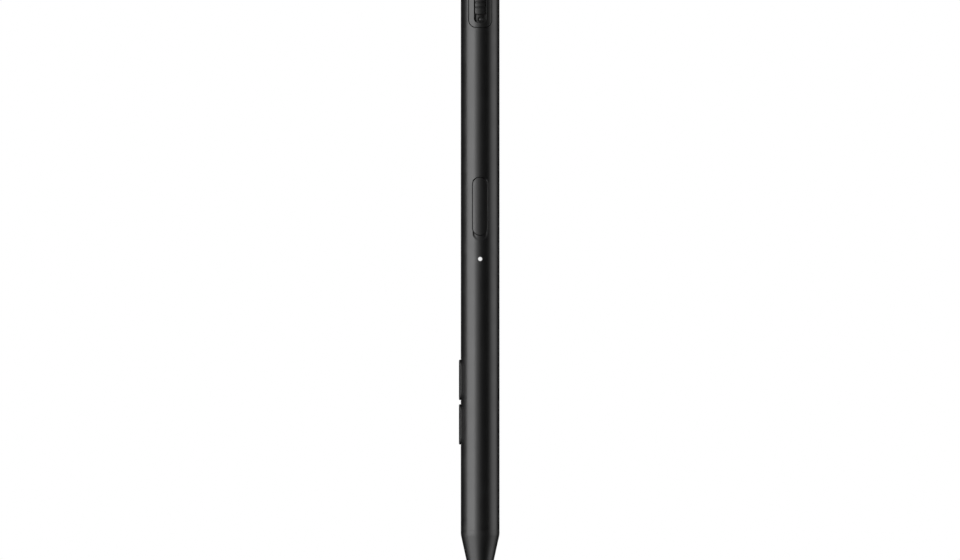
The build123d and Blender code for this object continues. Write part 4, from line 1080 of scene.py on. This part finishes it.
class STYLUS_OT_switch(bpy.types.Operator):
    """Builds the power switch: the bezel with its slot and pit, the ribbed slider and the pale dot."""

    bl_idname = "stylus.switch"
    bl_label = "Power switch"

    def execute(self, context):
        self.build_bezel(context)
        self.build_slider(context)
        self.build_mark(context)
        return {"FINISHED"}

    def build_bezel(self, context):
        """Outer wall, rim, slot wall and a floor that follows a circle about the axis, cut in two: round the
        pit's circle, and round the stem's opening. Both rims are rounded by a quarter turn."""
        sizes = context.scene.stylus_sizes
        body = fitted("switch_bezel", BEZEL_SIDES, sizes.bezel_corner)
        corner = sizes.slot_corner
        slot = oblong(body.centre, SLOT_LENGTH / 2 - corner, BEZEL_SIDES, SLOT_HALF_WIDTH - corner)
        lip = sizes.bezel_lip
        slot_lip = lip * SLOT_LIP_SHARE
        radius = sizes.bezel_corner - sizes.bezel_line
        sine, fall = quarter()
        outer = np.stack([radius - lip * (1 - sine), RADIUS - lip * fall], axis=1)[::-1]
        inner = np.stack([corner + slot_lip * (1 - sine), RADIUS - slot_lip * fall], axis=1)
        along, across = outline(body, radius - lip)
        in_along, in_across = outline(slot, corner + slot_lip)
        share = BEZEL_SHARES[:, None]
        angle = np.arcsin(across / RADIUS) * (1 - share) + np.arcsin(in_across / RADIUS) * share
        shell = stacked(
            level_rings(body, [(radius, BEZEL_UNDER)]),
            cylinder_rings(body, [(radius, RADIUS - BEZEL_WALL_LIPS * lip)]),
            (cylinder_rings(body, outer), rubbed(sine)[::-1]),
            around(along * (1 - share) + in_along * share, RADIUS, angle),
            (cylinder_rings(slot, inner), rubbed(sine)),
            cylinder_rings(slot, [(corner, SLOT_FLOOR + SLOT_FOOT), (corner, SLOT_FLOOR)]),
        )
        cut = np.flatnonzero(np.isclose(body.lean, BEZEL_CUT))
        near, far = split_outline(np.stack(outline(slot, corner), axis=1), *cut)
        near_base, far_base = split_outline(np.stack(outline(body, radius), axis=1), *cut)

        def curved_floor(edge, hole):
            along, across = np.moveaxis(edge + FLOOR_SHARES[:, None, None] * (hole - edge), -1, 0)
            return facing_points(along, across, np.sqrt(SLOT_FLOOR**2 - across**2))

        def flat_ring(edge):
            return facing_points(*edge.T, BEZEL_UNDER)[None]

        mark = extent("switch_mark").middle
        pit = Oblong(np.arctan2(near[:, 1], near[:, 0] - mark), 0, 0, mark, 0, "front")
        pit_edge = np.stack(outline(pit, PIT_RADIUS + PIT_EDGE), axis=1)
        along, across = outline(pit, PIT_RADIUS)
        well_top = facing_points(along, across, np.sqrt(SLOT_FLOOR**2 - across**2) - PIT_EDGE)
        well = [(PIT_RADIUS, PIT_FLOOR + PIT_EDGE), (PIT_RADIUS - PIT_EDGE, PIT_FLOOR), (0, PIT_FLOOR)]
        ray = np.arctan2(far[:, 1], (far[:, 0] - body.centre) * OPENING_LEAN)
        way = np.stack([np.cos(ray), np.sin(ray)], axis=1)
        size = np.min(OPENING_HALVES / np.maximum(np.abs(way), TINY), axis=1, keepdims=True)
        opening = (body.centre, 0) + size * way
        base_middle = np.broadcast_to(near_base.mean(axis=0), near_base.shape)
        grids = [
            shell,
            stacked(curved_floor(near, pit_edge), well_top[None], level_rings(pit, well)),
            stacked(curved_floor(far, opening), flat_ring(opening), flat_ring(far_base)),
            stacked(flat_ring(near_base), flat_ring(base_middle)),
        ]
        finish = black_moulding(context, "bezel_black", FINE_GRAIN)
        make_piece("bezel_insert", grids, finish, "pen_body", "bezel_plastic", "switch_bezel")

    def build_slider(self, context):
        """An oblong block whose top is the barrel's curve less round grooves and less a square law near both
        ends, with a barbed stem below. A groove is a half circle whose edges are eased: the root of its
        square plus that of a small length, less that length."""
        sizes = context.scene.stylus_sizes
        knob = extent("slide_knob")
        radius = sizes.slider_corner
        sides = even_shares(SLIDER_SIDE_STEPS)
        block = fitted("slide_knob", sides, radius)
        centres = knob.middle + (np.arange(GROOVES) - (GROOVES - 1) / 2) * sizes.groove_pitch

        def ribbed(stations):
            half_chord = np.maximum(sizes.groove_radius**2 - (stations[..., None] - centres) ** 2, 0)
            grooves = (np.sqrt(half_chord + GROOVE_EASE**2) - GROOVE_EASE).sum(axis=-1)
            past = np.abs(stations - knob.middle) - (knob.end - knob.start) / 2 + sizes.slider_ease
            ends = sizes.slider_fall * (np.maximum(past, 0) / sizes.slider_ease) ** 2
            return RADIUS - sizes.slider_recess - ends - grooves

        face = crowned(block, radius, SLIDER_LIP, ribbed)
        skirt = [(radius, SLIDER_UNDER + SLIDER_EDGE), (radius - SLIDER_EDGE, SLIDER_UNDER)]
        barb = STEM_RADIUS + STEM_BARB
        shank = [(STEM_RADIUS, SLIDER_UNDER), (STEM_RADIUS, STEM_CATCH)]
        foot = [(barb, STEM_CATCH), (barb, knob.inner), (0, knob.inner)]
        stem = level_rings(oblong(knob.middle, STEM_HALF_LENGTH - STEM_RADIUS, sides), shank + foot)
        finish = black_moulding(context, "slider_black", FINE_GRAIN)
        grid = stacked(face, level_rings(block, skirt), stem)
        make_piece("ribbed_slider", [grid], finish, "slide_knob", "knob_plastic", "slide_knob")

    def build_mark(self, context):
        """A short round pin with a domed end."""
        mark = extent("switch_mark")
        radius = (mark.end - mark.start) / 2
        sine, fall = quarter(MARK_STEPS)
        foot = mark.outer - MARK_DOME
        dome = np.stack([radius * (1 - fall), foot + MARK_DOME * sine], axis=1)
        side = [(0, mark.inner), (radius, mark.inner), (radius, foot - MARK_STEP)]
        pin = level_rings(oblong(mark.middle), [*side, *dome, (0, mark.outer)])
        colour = context.scene.stylus_finishes.mark_colour
        finish = moulded("mark_paint", colour, 0.45, FINE_GRAIN, depth=0.000001)
        make_piece("mark_dot", [Grid(pin)], finish, "pen_body", "mark_paint", "switch_mark")


class STYLUS_OT_insides(bpy.types.Operator):
    """Gives the pieces inside the pen, which keep their solids' meshes, their finishes."""

    bl_idname = "stylus.insides"
    bl_label = "Insides"

    def execute(self, context):
        finishes = {
            metal("turned_steel", (0.56, 0.56, 0.57), 0.28): ["nib_holder"],
            metal("turned_brass", (0.68, 0.5, 0.22), 0.3): ["nib_guide"],
            metal("plated_copper", (0.7, 0.42, 0.28), 0.32): ["tilt_electrode"],
            moulded("sensor_case", (0.16, 0.16, 0.18), 0.5): ["pressure_sensor"],
            moulded("frame_moulding", (0.09, 0.09, 0.1), 0.55): ["inner_frame"],
            laminate("dark_laminate", (0.004, 0.022, 0.012)): ["main_board", "switch_board"],
            moulded("chip_epoxy", (0.02, 0.02, 0.022), 0.45, FINE_GRAIN): ["controller_chip", "radio_chip"],
            moulded("fired_clay", (0.36, 0.26, 0.17), 0.4): ["board_components"],
            metal("bright_screw", (0.6, 0.6, 0.6), 0.25, (1, 1, 1)): ["board_screws"],
            moulded("switch_case", (0.07, 0.07, 0.07), 0.5): [
                "lower_tact_switch",
                "upper_tact_switch",
                "slide_switch",
            ],
            moulded("pale_plunger", (0.5, 0.45, 0.36), 0.45): [
                "lower_plunger",
                "upper_plunger",
                "switch_lever",
            ],
            moulded("led_phosphor", (0.85, 0.8, 0.5), 0.3): ["status_led"],
            metal("nickel_shell", (0.6, 0.59, 0.57), 0.26): ["port_shell"],
            moulded("port_insulator", (0.015, 0.015, 0.016), 0.4): ["port_tongue"],
            metal("gold_contact", (0.85, 0.62, 0.25), 0.25, (12, 1, 12)): ["port_contacts"],
            striped("battery_sleeve", (0.05, 0.18, 0.12), (0.06, 0.2, 0.135), 0.004, 0.35): ["battery_cell"],
            metal("nickel_strip", (0.64, 0.62, 0.58), 0.3): ["battery_tabs"],
            striped("amber_ribbon", (0.36, 0.16, 0.03), (0.5, 0.27, 0.08), 0.0008, 0.35): ["ribbon_cable"],
            moulded("antenna_clay", (0.7, 0.7, 0.66), 0.4): ["antenna"],
        }
        for finish, names in finishes.items():
            for name in names:
                slots = frame["nodes"][name].data.materials
                slots.clear()
                slots.append(finish)
        return {"FINISHED"}


# The floor's grid, its gap below the pen and its mottle, and the camera's distance and depth
FLOOR_POINTS = 9
FLOOR_GAP = 0.00001
MOTTLE_SIZE = 0.05
CAMERA_DISTANCE = 0.6
CAMERA_CLIP = (0.01, 20)

# Where the room's zones start and are full, as shares of the way straight back (Y) or up (Z)
BACKDROP_BACK = (0.93, 0.985)
GLOW_DOWN = (-0.8, -1.0)
GLOW_FRONT = (0.62, 0.32)
WASH_UP = (-0.12, 0.5)
WASH_TOP = (0.75, 0.5)
WASH_FRONT = (0.2, -0.2)


class STYLUS_OT_stage(bpy.types.Operator):
    """Makes the floor, the softboxes, the room and the camera."""

    bl_idname = "stylus.stage"
    bl_label = "Stage"

    def execute(self, context):
        scene = context.scene
        stage = scene.stylus_stage
        scene.view_settings.view_transform = "Standard"
        self.make_floor(scene, stage)
        key_size, top_size = (stage.key_length, stage.key_height), (stage.top_length, stage.top_height)
        self.make_softbox(scene, "key", stage.key_power, key_size, stage.key_shift, stage.key_rise)
        self.make_softbox(scene, "top", stage.top_power, top_size, -stage.top_shift, stage.top_rise)
        self.make_room(scene, stage)
        self.make_camera(scene, stage)
        return {"FINISHED"}

    def make_floor(self, scene, stage):
        """A flat square grid just below the pen, pale with a faint mottle."""
        side = np.linspace(-0.5, 0.5, FLOOR_POINTS) * stage.floor_size
        x, y = np.meshgrid(side, side, indexing="ij")
        points = np.stack([x, y, np.full_like(x, -FLOOR_GAP)], axis=-1)
        mesh = bpy.data.meshes.new("floor")
        faces = grid_faces(FLOOR_POINTS, FLOOR_POINTS, False, 0)[:, ::-1]
        mesh.from_pydata(points.reshape(-1, 3), [], faces)
        floor = bpy.data.objects.new("floor", mesh)
        scene.collection.objects.link(floor)
        finish, nodes = new_finish("pale_floor")
        mottle = nodes.ranged(nodes.noise(MOTTLE_SIZE, 4))
        tone = nodes.shades(mottle, stage.floor_colour, 0.98, 1)
        nodes.shade({"Base Color": tone, "Roughness": 0.9, "Specular IOR Level": 0.1})
        mesh.materials.append(finish)
        floor.visible_glossy = False

    def make_softbox(self, scene, name, power, size, shift, rise):
        """A softbox that faces the pen's line from an angle above the front, shifted along the pen."""
        lamp = bpy.data.lights.new(f"{name}_softbox", "AREA")
        lamp.shape = "RECTANGLE"
        lamp.size, lamp.size_y = size
        lamp.energy = power
        softbox = bpy.data.objects.new(f"{name}_softbox", lamp)
        turn = Matrix.Rotation(math.pi / 2 - rise, 4, "X")
        away = Matrix.Translation((0, 0, scene.stylus_stage.lamp_distance))
        softbox.matrix_world = Matrix.Translation((shift, 0, 0)) @ turn @ away
        softbox.visible_camera = False
        scene.collection.objects.link(softbox)

    def make_room(self, scene, stage):
        """A white backdrop behind the pen, a glow below it, a wash on the front wall, and a dim room."""
        world = bpy.data.worlds.new("studio")
        world.use_nodes = True
        nodes = Nodes(world.node_tree)
        way = nodes.add("TexCoord", {}, "Generated")
        back, up = (nodes.add("SeparateXYZ", {"Vector": way}, axis) for axis in ("Y", "Z"))

        def zone(value, ends, level=1):
            return nodes.ranged(value, 0, level, *ends, interpolation_type="SMOOTHSTEP")

        def seen(ray):
            return nodes.add("LightPath", {}, f"Is {ray} Ray")

        mirrored = nodes.joined("MAXIMUM", seen("Glossy"), seen("Transmission"))
        behind = nodes.joined("MULTIPLY", mirrored, zone(back, BACKDROP_BACK))
        white = nodes.joined("MAXIMUM", seen("Camera"), behind)
        glow = nodes.joined("MULTIPLY", zone(up, GLOW_DOWN, stage.glow), zone(back, GLOW_FRONT))
        wall = nodes.joined("MULTIPLY", zone(up, WASH_UP, stage.wash), zone(up, WASH_TOP))
        wash = nodes.joined("MULTIPLY", wall, zone(back, WASH_FRONT))
        studio = nodes.joined("ADD", nodes.joined("ADD", glow, wash), stage.room)
        strength = nodes.add("Mix", {0: white, 2: studio, 3: 1.0})
        nodes.fill("Background", {"Color": (1, 1, 1, 1), "Strength": strength})
        scene.world = world

    def make_camera(self, scene, stage):
        """A level camera square to the pen's front face, turned so that the tail is up in the picture."""
        lens = bpy.data.cameras.new("camera")
        lens.type = "ORTHO"
        lens.ortho_scale = stage.frame_width
        lens.clip_start, lens.clip_end = CAMERA_CLIP
        camera = bpy.data.objects.new("camera", lens)
        x, z = TIP_X + stage.frame_station, AXIS_HEIGHT + stage.frame_rise
        place = [(0, 1, 0, x), (0, 0, -1, -CAMERA_DISTANCE), (-1, 0, 0, z), (0, 0, 0, 1)]
        camera.matrix_world = Matrix(place)
        scene.collection.objects.link(camera)
        scene.camera = camera


class STYLUS_PT_panel(bpy.types.Panel):
    """Lists the pen's pieces and their settings in the sidebar."""

    bl_idname = "STYLUS_PT_panel"
    bl_label = "Stylus Pen"
    bl_space_type = "VIEW_3D"
    bl_region_type = "UI"
    bl_category = "Stylus Pen"

    def draw(self, context):
        layout = self.layout
        for operator in OPERATORS:
            layout.operator(operator.bl_idname)
        for group in (context.scene.stylus_sizes, context.scene.stylus_finishes, context.scene.stylus_stage):
            box = layout.box()
            for name in group.bl_rna.properties.keys():
                if name not in ("rna_type", "name"):
                    box.prop(group, name)


OPERATORS = (
    STYLUS_OT_barrel,
    STYLUS_OT_nose,
    STYLUS_OT_pad,
    STYLUS_OT_tail,
    STYLUS_OT_buttons,
    STYLUS_OT_light,
    STYLUS_OT_port,
    STYLUS_OT_switch,
    STYLUS_OT_insides,
    STYLUS_OT_stage,
)
CLASSES = (StylusSizes, StylusFinishes, StylusStage, *OPERATORS, STYLUS_PT_panel)


def register():
    """Adds the classes and the settings that the scene keeps."""
    for each in CLASSES:
        bpy.utils.register_class(each)
    bpy.types.Scene.stylus_sizes = PointerProperty(type=StylusSizes)
    bpy.types.Scene.stylus_finishes = PointerProperty(type=StylusFinishes)
    bpy.types.Scene.stylus_stage = PointerProperty(type=StylusStage)


def unregister():
    """Takes the settings and the classes away again."""
    del bpy.types.Scene.stylus_stage
    del bpy.types.Scene.stylus_finishes
    del bpy.types.Scene.stylus_sizes
    for each in reversed(CLASSES):
        bpy.utils.unregister_class(each)


def main():
    """Builds every piece and the stage."""
    register()
    bpy.ops.stylus.barrel()
    bpy.ops.stylus.nose()
    bpy.ops.stylus.pad()
    bpy.ops.stylus.tail()
    bpy.ops.stylus.buttons()
    bpy.ops.stylus.light()
    bpy.ops.stylus.port()
    bpy.ops.stylus.switch()
    bpy.ops.stylus.insides()
    bpy.ops.stylus.stage()


if __name__ == "__main__":
    main()
